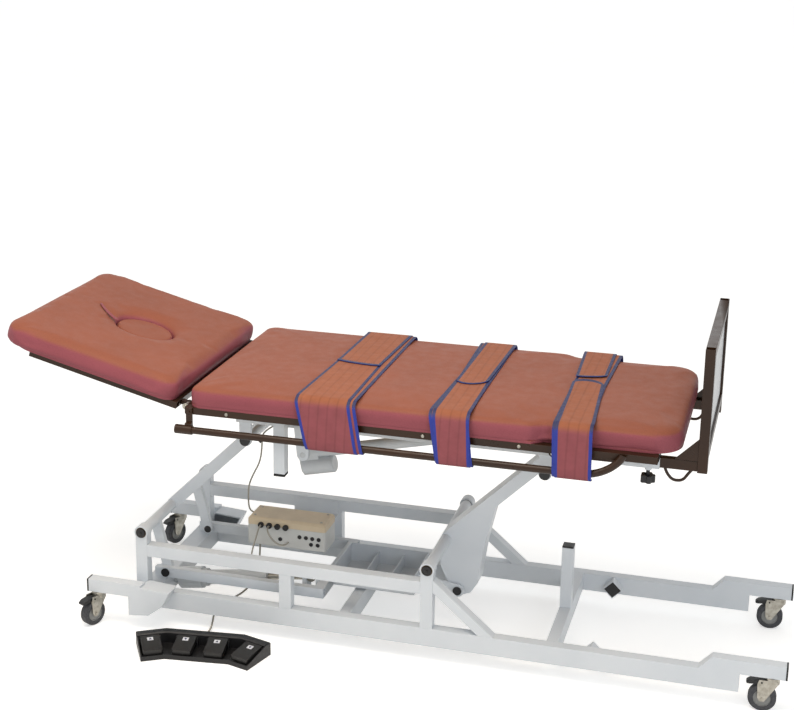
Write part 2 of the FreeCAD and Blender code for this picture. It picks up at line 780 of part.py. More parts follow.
def carriage_frame():
    outer, inner = -carriage_rail_outer, -carriage_rail_inner
    rail = tube_along(carriage_start, carriage_end, outer, inner, carriage_bottom, carriage_top)
    rail = rail.cut(disc(tilt_x, tilt_z, outer - 1, inner + 1, shaft_radius))
    pieces = both_sides(rail)
    lug_y = -carriage_rail_inner - 10 - carriage_lug_thickness
    for x in (arm_reach_x, crank_spacing + arm_reach_x):
        lug = block(x - lug_width / 2, x + lug_width / 2, lug_y, lug_y + carriage_lug_thickness,
                    arm_top_z, carriage_bottom)
        lug = lug.fuse(disc(x, arm_top_z, lug_y, lug_y + carriage_lug_thickness, lug_width / 2))
        bore = disc(x, arm_top_z, lug_y - 1, lug_y + carriage_lug_thickness + 1,
                    shaft_radius + running_fit)
        pieces += both_sides(lug.cut(bore).removeSplitter())
    half = tube_width / 2
    for x in (leg_x, second_cross_x):
        pieces.append(tube_across(x - half, x + half, inner, -inner, cross_tube_bottom, cross_tube_top))
    outside = tube_across(leg_x - half, leg_x + half, -base_inner, outer, cross_tube_bottom, cross_tube_top)
    pieces += both_sides(outside)
    leg = tube_up(leg_x - half, leg_x + half, -base_half_width, -base_inner,
                  leg_bottom + leg_foot_height, cross_tube_top)
    pieces += both_sides(leg)
    bar_reach = bracket_inner + bracket_thickness + side_gap + 3
    pieces.append(disc(tilt_x, tilt_z, -bar_reach, bar_reach, shaft_radius))
    for y in (tilt_rod_y - tilt_eye_width / 2 - side_gap - hanger_thickness,
              tilt_rod_y + tilt_eye_width / 2 + side_gap):
        hanger = side_plate([(leg_x - half, cross_tube_bottom), (tilt_rear_x - 18, tilt_rear_z),
                             (tilt_rear_x + 18, tilt_rear_z), (leg_x + half + 20, cross_tube_bottom)],
                            y, y + hanger_thickness)
        hanger = hanger.fuse(disc(tilt_rear_x, tilt_rear_z, y, y + hanger_thickness, 18))
        bore = disc(tilt_rear_x, tilt_rear_z, y - 1, y + hanger_thickness + 1, pin_radius + running_fit)
        pieces.append(hanger.cut(bore).removeSplitter())
    return pieces


def carriage_pads():
    """Black feet of the two rest legs and the pads that the level table lies on."""
    half = tube_width / 2
    foot = block(leg_x - half, leg_x + half, -base_half_width, -base_inner, leg_bottom,
                 leg_bottom + leg_foot_height)
    middle = -(carriage_rail_inner + carriage_rail_outer) / 2
    pad_x = carriage_start + 48
    pad = block(pad_x - stop_pad_size / 2, pad_x + stop_pad_size / 2, middle - stop_pad_size / 2,
                middle + stop_pad_size / 2, carriage_top, table_frame_bottom)
    return both_sides(foot) + both_sides(pad)


# Tilt actuator

def tilt_motor():
    """Actuator body: outer tube, gear housing on the rear pivot, and the motor below it."""
    tube = Part.makeCylinder(tilt_tube_radius, tilt_tube_end - tilt_tube_start, V(tilt_tube_start, 0, 0), ALONG)
    half = tilt_eye_width / 2
    housing = block(-16, 44, -half, half, -tilt_motor_drop - 16, 20)
    housing = rounded(housing, 8, lambda middle, way: abs(way.y) > 0.9)
    motor = Part.makeCylinder(tilt_motor_radius, tilt_motor_length, V(-10, 0, -tilt_motor_drop), ALONG)
    motor = motor.makeChamfer(3, [edge for edge in motor.Edges if edge.CenterOfMass.x > 80])
    body = fused([tube, housing, motor])
    body = body.cut(Part.makeCylinder(tilt_inner_radius + running_fit, tilt_tube_end,
                                      V(tilt_rod_tail - 2, 0, 0), ALONG))
    pin_reach = half + side_gap + hanger_thickness
    pin = disc(0, 0, -pin_reach, pin_reach, pin_radius)
    return placed_on_line(fused([body, pin]), tilt_rear_x, tilt_rod_y, tilt_rear_z, tilt_slope)


def tilt_rod():
    rod = Part.makeCylinder(tilt_inner_radius, tilt_length - tilt_rod_tail, V(tilt_rod_tail, 0, 0), ALONG)
    half = tilt_eye_width / 2
    eye = disc(tilt_length, 0, -half, half, tilt_eye_radius)
    return placed_on_line(fused([rod, eye]), tilt_rear_x, tilt_rod_y, tilt_rear_z, tilt_slope)


# Table top

def table_frame():
    outer, inner = -table_frame_half_width, -table_frame_inner
    low, high = table_frame_bottom, table_frame_top
    pieces = both_sides(tube_along(table_frame_start, table_frame_end, outer, inner, low, high))
    bars = ((table_frame_start, table_frame_width), (carriage_start + 35, table_frame_width),
            (tilt_front_x - 25, 50), (tilt_x - 20, 40), (table_frame_end - table_frame_width,
                                                         table_frame_width))
    for start, width in bars:
        pieces.append(tube_across(start, start + width, inner, -inner, low, high))
    bracket = block(tilt_x - 18, tilt_x + 18, -bracket_inner - bracket_thickness, -bracket_inner,
                    tilt_z, low)
    bracket = bracket.fuse(disc(tilt_x, tilt_z, -bracket_inner - bracket_thickness, -bracket_inner, 18))
    bracket = bracket.cut(disc(tilt_x, tilt_z, -bracket_inner - bracket_thickness - 1,
                               -bracket_inner + 1, shaft_radius + running_fit))
    pieces += both_sides(bracket.removeSplitter())
    half = tilt_eye_width / 2 + 3
    for y, head_y in ((tilt_rod_y - half - ear_thickness, -5), (tilt_rod_y + half, ear_thickness)):
        ear = block(tilt_front_x - 25, tilt_front_x + 25, y, y + ear_thickness, tilt_front_z, low)
        ear = ear.fuse(disc(tilt_front_x, tilt_front_z, y, y + ear_thickness, ear_radius))
        bolt = disc(tilt_front_x, tilt_front_z, y + head_y, y + head_y + 5, 12)
        pieces.append(fused([ear, bolt]))
    return pieces


def plan_outline(start, end, half, inset, step_x=None, step=0.0):
    """Corners of a cushion seen from above, on both sides of the centre plane."""
    near = [(start + inset, -half + inset)]
    if step_x is not None:
        near += [(step_x, -half + inset), (step_x + cushion_step_length, -half + step + inset)]
    near.append((end - inset, -half + step + inset))
    return near + [(x, -y) for x, y in reversed(near)]


def padded_slab(start, end, half, z0, z1, start_corner, end_corner, inset=0.0, step_x=None, step=0.0):
    corners = [V(x, y, z0) for x, y in plan_outline(start, end, half, inset, step_x, step)]
    slab = Part.Face(Part.makePolygon(corners + corners[:1])).extrude(V(0, 0, z1 - z0))
    slab = rounded(slab, start_corner, lambda middle, way: upright(way) and middle.x < start + inset + 1)
    return rounded(slab, end_corner, lambda middle, way: upright(way) and middle.x > end - inset - 1)


def body_cushion():
    slab = padded_slab(cushion_start, cushion_end, cushion_half_width, cushion_bottom, cushion_top,
                       small_corner, large_corner, 0.0, cushion_step_x, cushion_step)
    slab = rounded(slab, 40, lambda middle, way: upright(way) and cushion_step_x - 5 < middle.x
                   < cushion_step_x + cushion_step_length + 5)
    top_edges = [edge for edge in slab.Edges if edge.BoundBox.ZMin > cushion_top - 0.01]
    return slab.makeChamfer(cushion_chamfer, top_edges)


def table_deck():
    return padded_slab(cushion_start, cushion_end, cushion_half_width, table_frame_top, cushion_bottom,
                       small_corner - deck_inset, large_corner - deck_inset, deck_inset,
                       cushion_step_x, cushion_step)


def accessory_rails():
    """Round rails under the frame's sides, bent up to the frame at their foot end."""
    bend_start = V(rail_bend_x - rail_bend_length, -rail_y, rail_z)
    straight = Part.makeCylinder(rail_radius, bend_start.x - rail_x_start,
                                 V(rail_x_start, -rail_y, rail_z), ALONG)
    curve = Part.BezierCurve()
    curve.setPoles([bend_start, V(rail_bend_x, -rail_y, rail_z), V(rail_end_x - 7, -rail_y, table_frame_bottom),
                    V(rail_end_x, -table_frame_half_width - rail_radius, table_frame_top - 2)])
    circle = Part.Wire(Part.makeCircle(rail_radius, bend_start, ALONG))
    bent = Part.Wire([curve.toShape()]).makePipeShell([circle], True, False)
    return both_sides(straight) + both_sides(bent)


def rail_brackets():
    """Clamp sleeve round the rail's head end and the upright that carries it."""
    sleeve_end = rail_x_start + rail_sleeve_length
    sleeve = Part.makeCylinder(rail_radius + rail_sleeve_wall, rail_sleeve_length,
                               V(rail_x_start, -rail_y, rail_z), ALONG)
    half = rail_bracket_width / 2
    strip = block(rail_bracket_x - half, rail_bracket_x + half, -table_frame_half_width - 7,
                  -table_frame_half_width, rail_z + 2, table_frame_top)
    bridge = block(rail_bracket_x - half, rail_bracket_x + half, -rail_y, -table_frame_half_width,
                   rail_z + rail_radius, rail_z + rail_radius + 8)
    whole = fused([sleeve, strip, bridge])
    whole = whole.cut(Part.makeCylinder(rail_radius, rail_sleeve_length + 2,
                                        V(rail_x_start - 1, -rail_y, rail_z), ALONG))
    screw = disc(rail_bracket_x, table_frame_top - 12, -table_frame_half_width - 10,
                 -table_frame_half_width - 7, 4)
    return both_sides(whole) + both_sides(screw)


def frame_screws():
    screws = []
    y = -table_frame_half_width
    for x in screw_places:
        dome = disc(x, (table_frame_bottom + table_frame_top) / 2, y - screw_head_height, y,
                    screw_head_radius)
        screws += both_sides(dome.makeChamfer(1.2, [edge for edge in dome.Edges
                                                   if edge.CenterOfMass.y < y - screw_head_height + 0.1
                                                   and edge.Closed]))
    return screws


def strap(start, width):
    """One strap over the cushion, down both sides and round under the accessory rails."""
    over = cushion_half_width + soft_gap + 1
    rail_out = rail_y + rail_radius + soft_gap
    below = rail_z - rail_radius - soft_gap
    half = [(0, cushion_top + soft_gap), (cushion_half_width - cushion_chamfer, cushion_top + soft_gap),
            (over, cushion_top - cushion_chamfer - 1),
            (rail_out, rail_z + 8), (rail_out, below), (rail_y - 4, below)]
    outer = [(rail_y - 4, below - strap_thickness), (rail_out + strap_thickness, below - strap_thickness),
             (rail_out + strap_thickness, rail_z + 9), (over + strap_thickness, cushion_top - cushion_chamfer),
             (cushion_half_width - cushion_chamfer + 2, cushion_top + soft_gap + strap_thickness),
             (0, cushion_top + soft_gap + strap_thickness)]
    half_loop = cross_section_bar(half + outer, start, start + width)
    return fused([half_loop, mirrored(half_loop)])


# Head section

def raised(shape):
    """Turns a piece laid flat up about the head hinge."""
    shape.rotate(V(hinge_x, 0, hinge_z), ACROSS, head_raise)
    return shape


def head_frame():
    outer, inner = -head_frame_half_width, -head_frame_half_width + table_frame_width
    low, high = table_frame_bottom, table_frame_top
    end = hinge_x - head_frame_gap
    pieces = both_sides(tube_along(head_frame_start, end, outer, inner, low, high))
    for start in (head_frame_start, end - table_frame_width):
        pieces.append(tube_across(start, start + table_frame_width, inner, -inner, low, high))
    knuckle = disc(hinge_x, hinge_z, -knuckle_y + 1, -knuckle_y + knuckle_width, knuckle_radius)
    knuckle = knuckle.fuse(block(end, hinge_x, -knuckle_y + 1, -knuckle_y + knuckle_width,
                                 hinge_z - 6, hinge_z + 6))
    knuckle = knuckle.cut(disc(hinge_x, hinge_z, -knuckle_y - 1, -knuckle_y + knuckle_width + 1,
                               hinge_pin_radius + running_fit))
    pieces += both_sides(knuckle.removeSplitter())
    return [raised(piece) for piece in pieces]


def hinge_plates():
    """The table's half of the head hinge: two knuckles, each with its pin."""
    knuckle = disc(hinge_x, hinge_z, -knuckle_y - knuckle_width, -knuckle_y, knuckle_radius)
    knuckle = knuckle.fuse(block(hinge_x, table_frame_start, -knuckle_y - knuckle_width, -knuckle_y,
                                 hinge_z - 8, hinge_z + 8))
    pin = disc(hinge_x, hinge_z, -knuckle_y - knuckle_width - 3, -knuckle_y + knuckle_width + 3,
               hinge_pin_radius)
    return both_sides(fused([knuckle, pin]))


def face_oval(z0, z1, grow):
    """Oval prism in the middle of the head cushion."""
    ellipse = Part.Ellipse(V(plug_x, 0, z0), plug_length / 2 + grow, plug_width / 2 + grow)
    return Part.Face(Part.Wire(ellipse.toShape())).extrude(V(0, 0, z1 - z0))


def head_cushion():
    end = hinge_x - head_cushion_gap
    slab = padded_slab(head_cushion_start, end, cushion_half_width, cushion_bottom, cushion_top,
                       large_corner, small_corner)
    slab = slab.makeChamfer(cushion_chamfer, [edge for edge in slab.Edges if edge.BoundBox.ZMin > cushion_top - 0.01])
    return raised(slab.cut(face_oval(cushion_bottom - 1, cushion_top + 1, plug_gap)))


def head_deck():
    end = hinge_x - head_cushion_gap
    slab = padded_slab(head_cushion_start, end, cushion_half_width, table_frame_top, cushion_bottom,
                       large_corner - deck_inset, small_corner - deck_inset, deck_inset)
    return raised(slab.cut(face_oval(table_frame_top - 1, cushion_bottom + 1, -breathing_inset)))


def face_plug():
    plug = face_oval(cushion_bottom, cushion_top - plug_sink, 0)
    plug = plug.makeChamfer(6, [edge for edge in plug.Edges
                                if edge.BoundBox.ZMin > cushion_top - plug_sink - 0.01])
    return raised(plug)


# Footboard

def footboard_frame():
    y0, y1 = -board_half_width, -board_half_width + board_post
    x0, x1 = board_x, board_x + board_depth
    post = tube_up(x0, x1, y0, y1, board_bottom, board_top)
    pieces = both_sides(post)
    pieces.append(tube_across(x0, x1, y1, -y1, board_top - board_post, board_top))
    pieces.append(tube_across(x0, x1, y1, -y1, board_panel_bottom - board_post, board_panel_bottom))
    return pieces


def footboard_panel():
    middle = board_x + board_depth / 2
    inner = board_half_width - board_post
    return block(middle - board_panel_thickness / 2, middle + board_panel_thickness / 2, -inner, inner,
                 board_panel_bottom, board_top - board_post)


def footboard_arms():
    """Arm tubes that slide in the table's sleeves, their gussets and the bent hook rods."""
    outer = -board_half_width + 3
    inner = outer + arm_tube_width
    top = arm_tube_bottom + arm_tube_height
    arm = tube_along(arm_tube_start, board_x, outer, inner, arm_tube_bottom, top)
    pieces = both_sides(arm)
    gusset = side_plate([(board_x, top), (board_x - gusset_length, top), (board_x, top + gusset_length)],
                        outer, outer + 5)
    pieces += both_sides(gusset)
    y = outer + arm_tube_width / 2
    start_x = sleeve_end + 12
    points = ((start_x, -1), (start_x + 7, -18), (start_x + 22, -35), (start_x + 48, -34),
              (board_x - 22, -12), (board_x - 14, -1))
    rod = route_tube([(x, y, arm_tube_bottom + 1 + z) for x, z in points], 8)
    pieces += both_sides(rod)
    return pieces


def guide_sleeves():
    """Grey sleeves under the table's foot end that the footboard's arms slide in."""
    clear = sleeve_clearance
    y0 = -board_half_width + 3 - clear
    y1 = y0 + arm_tube_width + 2 * clear
    z0 = arm_tube_bottom - clear
    z1 = arm_tube_bottom + arm_tube_height + clear
    sheet = sleeve_sheet
    outer = block(sleeve_start, sleeve_end, y0 - sheet, y1 + sheet, z0 - sheet, table_frame_bottom)
    outer = outer.cut(block(sleeve_start - 1, sleeve_end + 1, y0, y1, z0, z1))
    middle = (y0 + y1) / 2
    outer = outer.fuse(Part.makeCylinder(9, 8, V(knob_x, middle, z0 - sheet - 8)))
    bore = Part.makeCylinder(knob_stem_radius + running_fit, 20, V(knob_x, middle, z0 - sheet - 9))
    return both_sides(outer.cut(bore).removeSplitter())


def lock_knob():
    """Star knob on a threaded stem that clamps a footboard arm."""
    middle = -board_half_width + 3 + arm_tube_width / 2
    body = Part.makeCylinder(knob_radius - 5, knob_height, V(0, 0, 0))
    for number in range(knob_lobes):
        angle = 2 * math.pi * number / knob_lobes
        reach = knob_radius - 7
        lobe = Part.makeCylinder(7, knob_height, V(reach * math.cos(angle), reach * math.sin(angle), 0))
        body = body.fuse(lobe)
    stem_top = arm_tube_bottom - sleeve_clearance
    stem = Part.makeCylinder(knob_stem_radius, stem_top - knob_bottom, V(0, 0, 0))
    knob = fused([body, stem])
    knob.translate(V(knob_x, middle, knob_bottom))
    return knob


# Control box and cables

def control_box():
    """Lower shell of the control box with the shelf that hangs it from the far side frame."""
    lid_bottom = box_bottom + box_height - box_lid_height
    outer = block(box_start, box_end, box_near_y, box_far_y, box_bottom, lid_bottom)
    outer = rounded(outer, 8, lambda middle, way: upright(way))
    inner = block(box_start + box_wall, box_end - box_wall, box_near_y + box_wall,
                  box_far_y - box_wall, box_bottom + box_wall, lid_bottom + 1)
    shell = outer.cut(inner)
    shelf_top = box_bottom
    shelf = block(box_start + 50, box_end - 50, box_near_y + 20, base_inner, shelf_top - shelf_thickness,
                  shelf_top)
    lip = block(box_start + 50, box_end - 50, base_inner - shelf_thickness, base_inner,
                shelf_top, upper_rail_top - 6)
    bridge = fused([shelf, lip])
    return [shell, bridge]


def control_box_lid():
    bottom = box_bottom + box_height - box_lid_height
    lid = block(box_start, box_end, box_near_y, box_far_y, bottom, bottom + box_lid_height)
    lid = rounded(lid, 8, lambda middle, way: upright(way))
    top_edges = [edge for edge in lid.Edges if edge.BoundBox.ZMin > bottom + box_lid_height - 0.01]
    lid = lid.makeChamfer(7, top_edges)
    return lid.cut(block(box_start + box_wall, box_end - box_wall, box_near_y + box_wall,
                         box_far_y - box_wall, bottom - 1, bottom + box_lid_height - 8))


def control_sockets():
    """Row of round cable sockets along the near face of the box."""
    first_x, _, z = actuator_cable_route[0]
    return [disc(first_x + number * socket_pitch, z, box_near_y - socket_depth, box_near_y, socket_radius)
            for number in range(socket_count)]


# Foot switch

def switch_placed(shape):
    shape.rotate(V(0, 0, 0), UP, switch_turn)
    shape.translate(V(switch_x, switch_y, 0))
    return shape


def switch_line(y):
    """Corners of a line that follows the housing's bend at depth y, from left to right."""
    bend = math.radians(switch_bend)
    forward = switch_back - y
    kink_x = switch_middle_half - forward * math.tan(bend / 2)
    end_x = switch_middle_half + switch_wing_length * math.cos(bend) - forward * math.sin(bend)
    end_y = switch_back - switch_wing_length * math.sin(bend) - forward * math.cos(bend)
    return [(-end_x, end_y), (-kink_x, y), (kink_x, y), (end_x, end_y)]


def switch_band(y0, y1, z0, z1):
    """Part of the housing between two depths, bent as the housing is."""
    corners = [V(x, y, z0) for x, y in switch_line(y0) + switch_line(y1)[::-1]]
    return Part.Face(Part.makePolygon(corners + corners[:1])).extrude(V(0, 0, z1 - z0))


def on_wing(shape, side):
    """Moves a shape made at the back edge's middle onto the left (-1) or right (1) end part."""
    shape.translate(V(side * wing_pedal_at, -switch_back, 0))
    shape.rotate(V(0, 0, 0), UP, -side * switch_bend)
    shape.translate(V(side * switch_middle_half, switch_back, 0))
    return shape


def at_pedal(shape, number):
    """Moves a shape made about X = 0 to the place of one pedal in the housing."""
    if number == 0:
        return on_wing(shape, -1)
    if number == pedal_count - 1:
        return on_wing(shape, 1)
    shape.translate(V((number - (pedal_count - 1) / 2) * 2 * middle_pedal_x, 0, 0))
    return shape


def pedal_seat():
    """Two lugs and the pin that one pedal turns about."""
    inner = pedal_width / 2 + running_fit + 0.7
    outline = [(pedal_pivot_y + 7, switch_floor - 1), (pedal_pivot_y + 7, pedal_pin_z + 8),
               (pedal_pivot_y - 6, pedal_pin_z + 8), (pedal_pivot_y - 10, switch_floor - 1)]
    lug = cross_section_bar(outline, inner, inner + pedal_lug)
    opposite = cross_section_bar(outline, -inner - pedal_lug, -inner)
    reach = inner + pedal_lug
    pin = Part.makeCylinder(pedal_pin, 2 * reach, V(-reach, pedal_pivot_y, pedal_pin_z), ALONG)
    return fused([lug, opposite, pin])


def foot_switch():
    """Low bent housing with a raised back, rims, and the seats of the four pedals."""
    ridge = switch_band(switch_back - switch_back_depth, switch_back, 0, switch_back_height)
    ridge = ridge.makeChamfer(3, [edge for edge in ridge.Edges if edge.BoundBox.ZMin > switch_back_height - 0.1])
    pieces = [ridge, switch_band(-switch_back, switch_back, 0, switch_floor),
              switch_band(-switch_back, -switch_back + switch_rim, 0, switch_rim_height)]
    wall_outline = [(-switch_back, 0), (-switch_back, switch_rim_height),
                    (switch_back - switch_back_depth, switch_back_height - 4),
                    (switch_back - switch_back_depth + 1, 0)]
    wall_start = switch_wing_length - wing_pedal_at - switch_wall
    wall = cross_section_bar(wall_outline, wall_start, wall_start + switch_wall)
    pieces.append(on_wing(wall.mirror(V(0, 0, 0), ALONG), -1))
    pieces.append(on_wing(wall, 1))
    body = fused(pieces)
    seats = [at_pedal(pedal_seat(), number) for number in range(pedal_count)]
    relief = Part.makeCone(relief_radius + 3, relief_radius - 1.5, relief_length,
                           V(relief_x, switch_back, 14), ACROSS)
    return [switch_placed(fused([body] + seats)), switch_placed(relief)]


def switch_pedal(number):
    """Sloping foot plate that turns about a pin at its back edge."""
    front = -switch_back + 8
    outline = [(pedal_pivot_y + 5, 20), (pedal_pivot_y + 5, 36), (pedal_pivot_y - 4, 37), (front, 27),
               (front, 13), (pedal_pivot_y - 14, 19)]
    plate = cross_section_bar(outline, -pedal_width / 2, pedal_width / 2)
    plate = rounded(plate, 5, lambda middle, way: abs(way.z) > 0.9 and middle.y < front + 1)
    bore = Part.makeCylinder(pedal_pin + running_fit, pedal_width + 2,
                             V(-pedal_width / 2 - 1, pedal_pivot_y, pedal_pin_z), ALONG)
    return switch_placed(at_pedal(plate.cut(bore), number))


def cables():
    """Short cables between the box's sockets, its lower face and the lift actuator."""
    return [route_tube(actuator_cable_route, cable_diameter, "actuator cable"),
            route_tube(loop_cable_route, cable_diameter, "loop cable")]


def build():
    os.makedirs("parts", exist_ok=True)
    rail = base_rail()
    frame = side_frame()
    save("base_rail_near", rail)
    save("base_rail_far", mirrored(rail))
    save("side_frame_near", frame)
    save("side_frame_far", [mirrored(piece) for piece in frame])
    save("base_cross_tubes", base_cross_tubes())
    save("head_outriggers", both_sides(head_outrigger()))
    save("frame_caps", frame_caps())
    save("pivot_bushes", pivot_bushes())
    save("caster_mounts", [turned(caster_mount(), name) for name in casters])
    for name in casters:
        save("fork_" + name, turned(caster_fork(), name))
        save("wheel_" + name, [turned(piece, name) for piece in caster_wheel()])
        save("brake_" + name, turned(caster_brake(), name))
    save("head_crank", [crank_weldment(0.0, head_levers()), arm_shaft(0.0)])
    foot_plates, foot_pin = foot_crank_plates()
    save("foot_crank", [crank_weldment(crank_spacing, [foot_plates, foot_pin]), arm_shaft(crank_spacing)])
    save("drawbar_links", drawbar_links())
    save("drawbar_channel", drawbar_channel())
    save("lift_actuator", lift_actuator())
    save("lift_rod", lift_rod())
    save("carriage_frame", carriage_frame())
    save("carriage_pads", carriage_pads())
    save("tilt_motor", tilt_motor())
    save("tilt_rod", tilt_rod())
    save("table_frame", table_frame())
    save("table_deck", table_deck())
    save("body_cushion", body_cushion())
    save("accessory_rails", accessory_rails())
    save("rail_brackets", rail_brackets())
    save("frame_screws", frame_screws())
    save("straps", [strap(start, width) for start, width in straps])
    save("hinge_plates", hinge_plates())
    save("head_frame", head_frame())
    save("head_deck", head_deck())
    save("head_cushion", head_cushion())
    save("face_plug", face_plug())
    save("footboard_frame", footboard_frame())
    save("footboard_panel", footboard_panel())
    save("footboard_arms", footboard_arms())
    save("guide_sleeves", guide_sleeves())
    knob = lock_knob()
    save("lock_knob_near", knob)
    save("lock_knob_far", mirrored(knob))
    save("control_box", control_box())
    save("control_box_lid", control_box_lid())
    save("control_sockets", control_sockets())
    save("foot_switch", foot_switch())
    for number in range(pedal_count):
        save("switch_pedal_" + str(number + 1), switch_pedal(number))
    save("switch_cord", route_tube(switch_cord_route, cord_diameter, "switch cord"))
    save("actuator_cables", cables())
    save("tilt_cable", route_tube(tilt_cable_route, cable_diameter, "tilt cable"))


build()
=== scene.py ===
import math

import bmesh
import bpy
import numpy as np
from mathutils import Matrix, Vector


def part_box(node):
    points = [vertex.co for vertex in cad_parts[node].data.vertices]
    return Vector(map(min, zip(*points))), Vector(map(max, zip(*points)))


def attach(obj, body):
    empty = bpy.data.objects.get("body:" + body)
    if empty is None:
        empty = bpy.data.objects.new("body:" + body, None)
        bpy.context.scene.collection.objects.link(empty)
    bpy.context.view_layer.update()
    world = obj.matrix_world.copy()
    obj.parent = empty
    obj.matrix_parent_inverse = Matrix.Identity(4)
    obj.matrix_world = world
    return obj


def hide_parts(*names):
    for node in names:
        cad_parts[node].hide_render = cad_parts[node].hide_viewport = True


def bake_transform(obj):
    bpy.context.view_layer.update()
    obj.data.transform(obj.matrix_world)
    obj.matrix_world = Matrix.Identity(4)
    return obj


bl_info = {
    "name": "Tilt table",
    "version": (1, 0, 0),
    "blender": (4, 5, 0),
    "location": "View3D > Sidebar > Tilt table",
    "description": "Dresses the tilt table's frame with cushions, straps, cords and finishes",
    "category": "Object",
}

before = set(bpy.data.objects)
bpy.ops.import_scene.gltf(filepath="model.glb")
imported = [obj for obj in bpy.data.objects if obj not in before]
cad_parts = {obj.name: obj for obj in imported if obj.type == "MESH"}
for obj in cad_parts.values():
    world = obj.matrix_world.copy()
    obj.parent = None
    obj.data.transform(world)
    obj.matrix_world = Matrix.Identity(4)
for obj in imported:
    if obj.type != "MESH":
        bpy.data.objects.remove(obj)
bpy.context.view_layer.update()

# Lengths below are in metres unless the name says mm.
MM = 0.001

# Camera of the photograph: turns in radians, place in metres, the other measures in pixels
CAMERA_TURNS = (0.2851, 0.2765, 0.0085)
CAMERA_PLACE = (1.79788, -4.11415, 2.12554)
FOCAL_LENGTH = 1551.536
PRINCIPAL_POINT = (362.08, 320.0)
PHOTO_SIZE = (794, 710)
SENSOR_WIDTH = 36.0

# Head hinge and lie of the head section at rest
HEAD_HINGE = Vector((0.165, 0.0, 0.700))
HEAD_RAISE = math.radians(14.0)

# Height of the padded top, where the straps lie
SOFT_TOP = 0.7745

# Straight pieces that an arc of a path is made of
ARC_STEPS = 12

# A wave texture of scale 1 repeats every 2 pi / 20 metres
WAVE_SCALE = 6.283 / 20

# Cord routes, the same points as in the part's source, in millimetres
SWITCH_CORD = (
    (224.2, -316.6, 14.0), (222.2, -301.0, 14.0), (219.5, -280.0, 11.0), (212.0, -248.0, 10.0),
    (201.0, -208.0, 18.0), (199.0, -178.0, 27.0), (207.0, -146.0, 30.0), (226.0, -112.0, 33.0),
    (252.0, -80.0, 45.0), (272.0, -52.0, 72.0), (281.0, -34.0, 112.0), (284.0, -30.0, 158.0),
    (285.0, -30.0, 197.0))
ACTUATOR_CABLE = (
    (300.0, -68.0, 262.0), (300.5, -82.0, 261.0), (299.5, -93.0, 249.0), (296.0, -101.0, 231.0),
    (291.0, -108.0, 208.0), (287.0, -113.5, 184.0), (285.2, -115.0, 162.0), (285.0, -115.0, 142.0))
LOOP_CABLE = (
    (326.0, -68.0, 262.0), (327.0, -84.0, 262.0), (334.0, -97.0, 254.0), (345.0, -101.0, 240.0),
    (359.0, -99.0, 226.0), (373.0, -93.0, 217.0), (383.5, -80.0, 214.0), (385.0, -60.2, 214.0))
TILT_CABLE_LOWER = (
    (255.8, 20.0, 262.0), (239.0, 21.0, 262.5), (225.0, 34.0, 272.0), (217.0, 52.0, 298.0),
    (217.0, 58.0, 335.0), (233.0, 58.0, 373.0), (252.0, 57.0, 408.0), (261.0, 57.0, 447.0),
    (262.0, 57.0, 486.0))
TILT_CABLE_UPPER = (
    (262.0, 57.0, 486.0), (263.0, 57.0, 503.0), (277.0, 57.0, 519.0), (308.0, 57.0, 541.0),
    (345.0, 57.0, 562.0), (374.0, 57.0, 592.0), (384.0, 57.0, 621.0), (389.0, 57.0, 646.0),
    (397.0, 57.0, 659.0), (413.2, 57.0, 660.0))


# Colour and node helpers

def linear(hex_colour):
    """Linear RGBA of an sRGB hex colour such as #C9CFD4."""
    channels = [int(hex_colour[start:start + 2], 16) / 255 for start in (1, 3, 5)]
    spread = [c / 12.92 if c <= 0.04045 else ((c + 0.055) / 1.055) ** 2.4 for c in channels]
    return (*spread, 1.0)


def add_node(tree, kind, inputs=None, **settings):
    """Adds a node. Settings are its own properties; inputs are values or the sockets that feed it."""
    made = tree.nodes.new(kind)
    for name, value in settings.items():
        setattr(made, name, value)
    for name, value in (inputs or {}).items():
        if isinstance(value, bpy.types.NodeSocket):
            tree.links.new(value, made.inputs[name])
        else:
            made.inputs[name].default_value = value
    return made


def new_finish(name, values=None):
    """A new material's node tree and shader, and the place on the piece that its patterns are laid by."""
    material = bpy.data.materials.new(name)
    material.use_nodes = True
    tree = material.node_tree
    tree.nodes.clear()
    shader = add_node(tree, "ShaderNodeBsdfPrincipled", values)
    add_node(tree, "ShaderNodeOutputMaterial", {"Surface": shader.outputs["BSDF"]})
    place = add_node(tree, "ShaderNodeTexCoord").outputs["Object"]
    return tree, shader, place


def remapped(tree, value, source, target, way="LINEAR"):
    """The value, its (low, high) range spread over another one."""
    return add_node(tree, "ShaderNodeMapRange", {"Value": value, "From Min": source[0],
                                                 "From Max": source[1], "To Min": target[0],
                                                 "To Max": target[1]},
                    interpolation_type=way).outputs["Result"]


def speckled(tree, place, size, low=0.0, high=1.0, detail=2.0, stretch=(1.0, 1.0, 1.0)):
    """A noise value of about that grain size in metres, spread over low to high."""
    laid = add_node(tree, "ShaderNodeMapping", {"Vector": place, "Scale": stretch}).outputs["Vector"]
    noise = add_node(tree, "ShaderNodeTexNoise", {"Vector": laid, "Scale": 1.0 / size, "Detail": detail})
    return remapped(tree, noise.outputs["Fac"], (0.3, 0.7), (low, high))


def bands(tree, place, spacing, axis, more=None):
    """A value that rises and falls along an axis, once in that many metres."""
    values = {"Vector": place, "Scale": WAVE_SCALE / spacing, **(more or {})}
    return add_node(tree, "ShaderNodeTexWave", values, bands_direction=axis).outputs["Fac"]


def product(tree, first, second):
    return add_node(tree, "ShaderNodeMath", {0: first, 1: second}, operation="MULTIPLY").outputs[0]


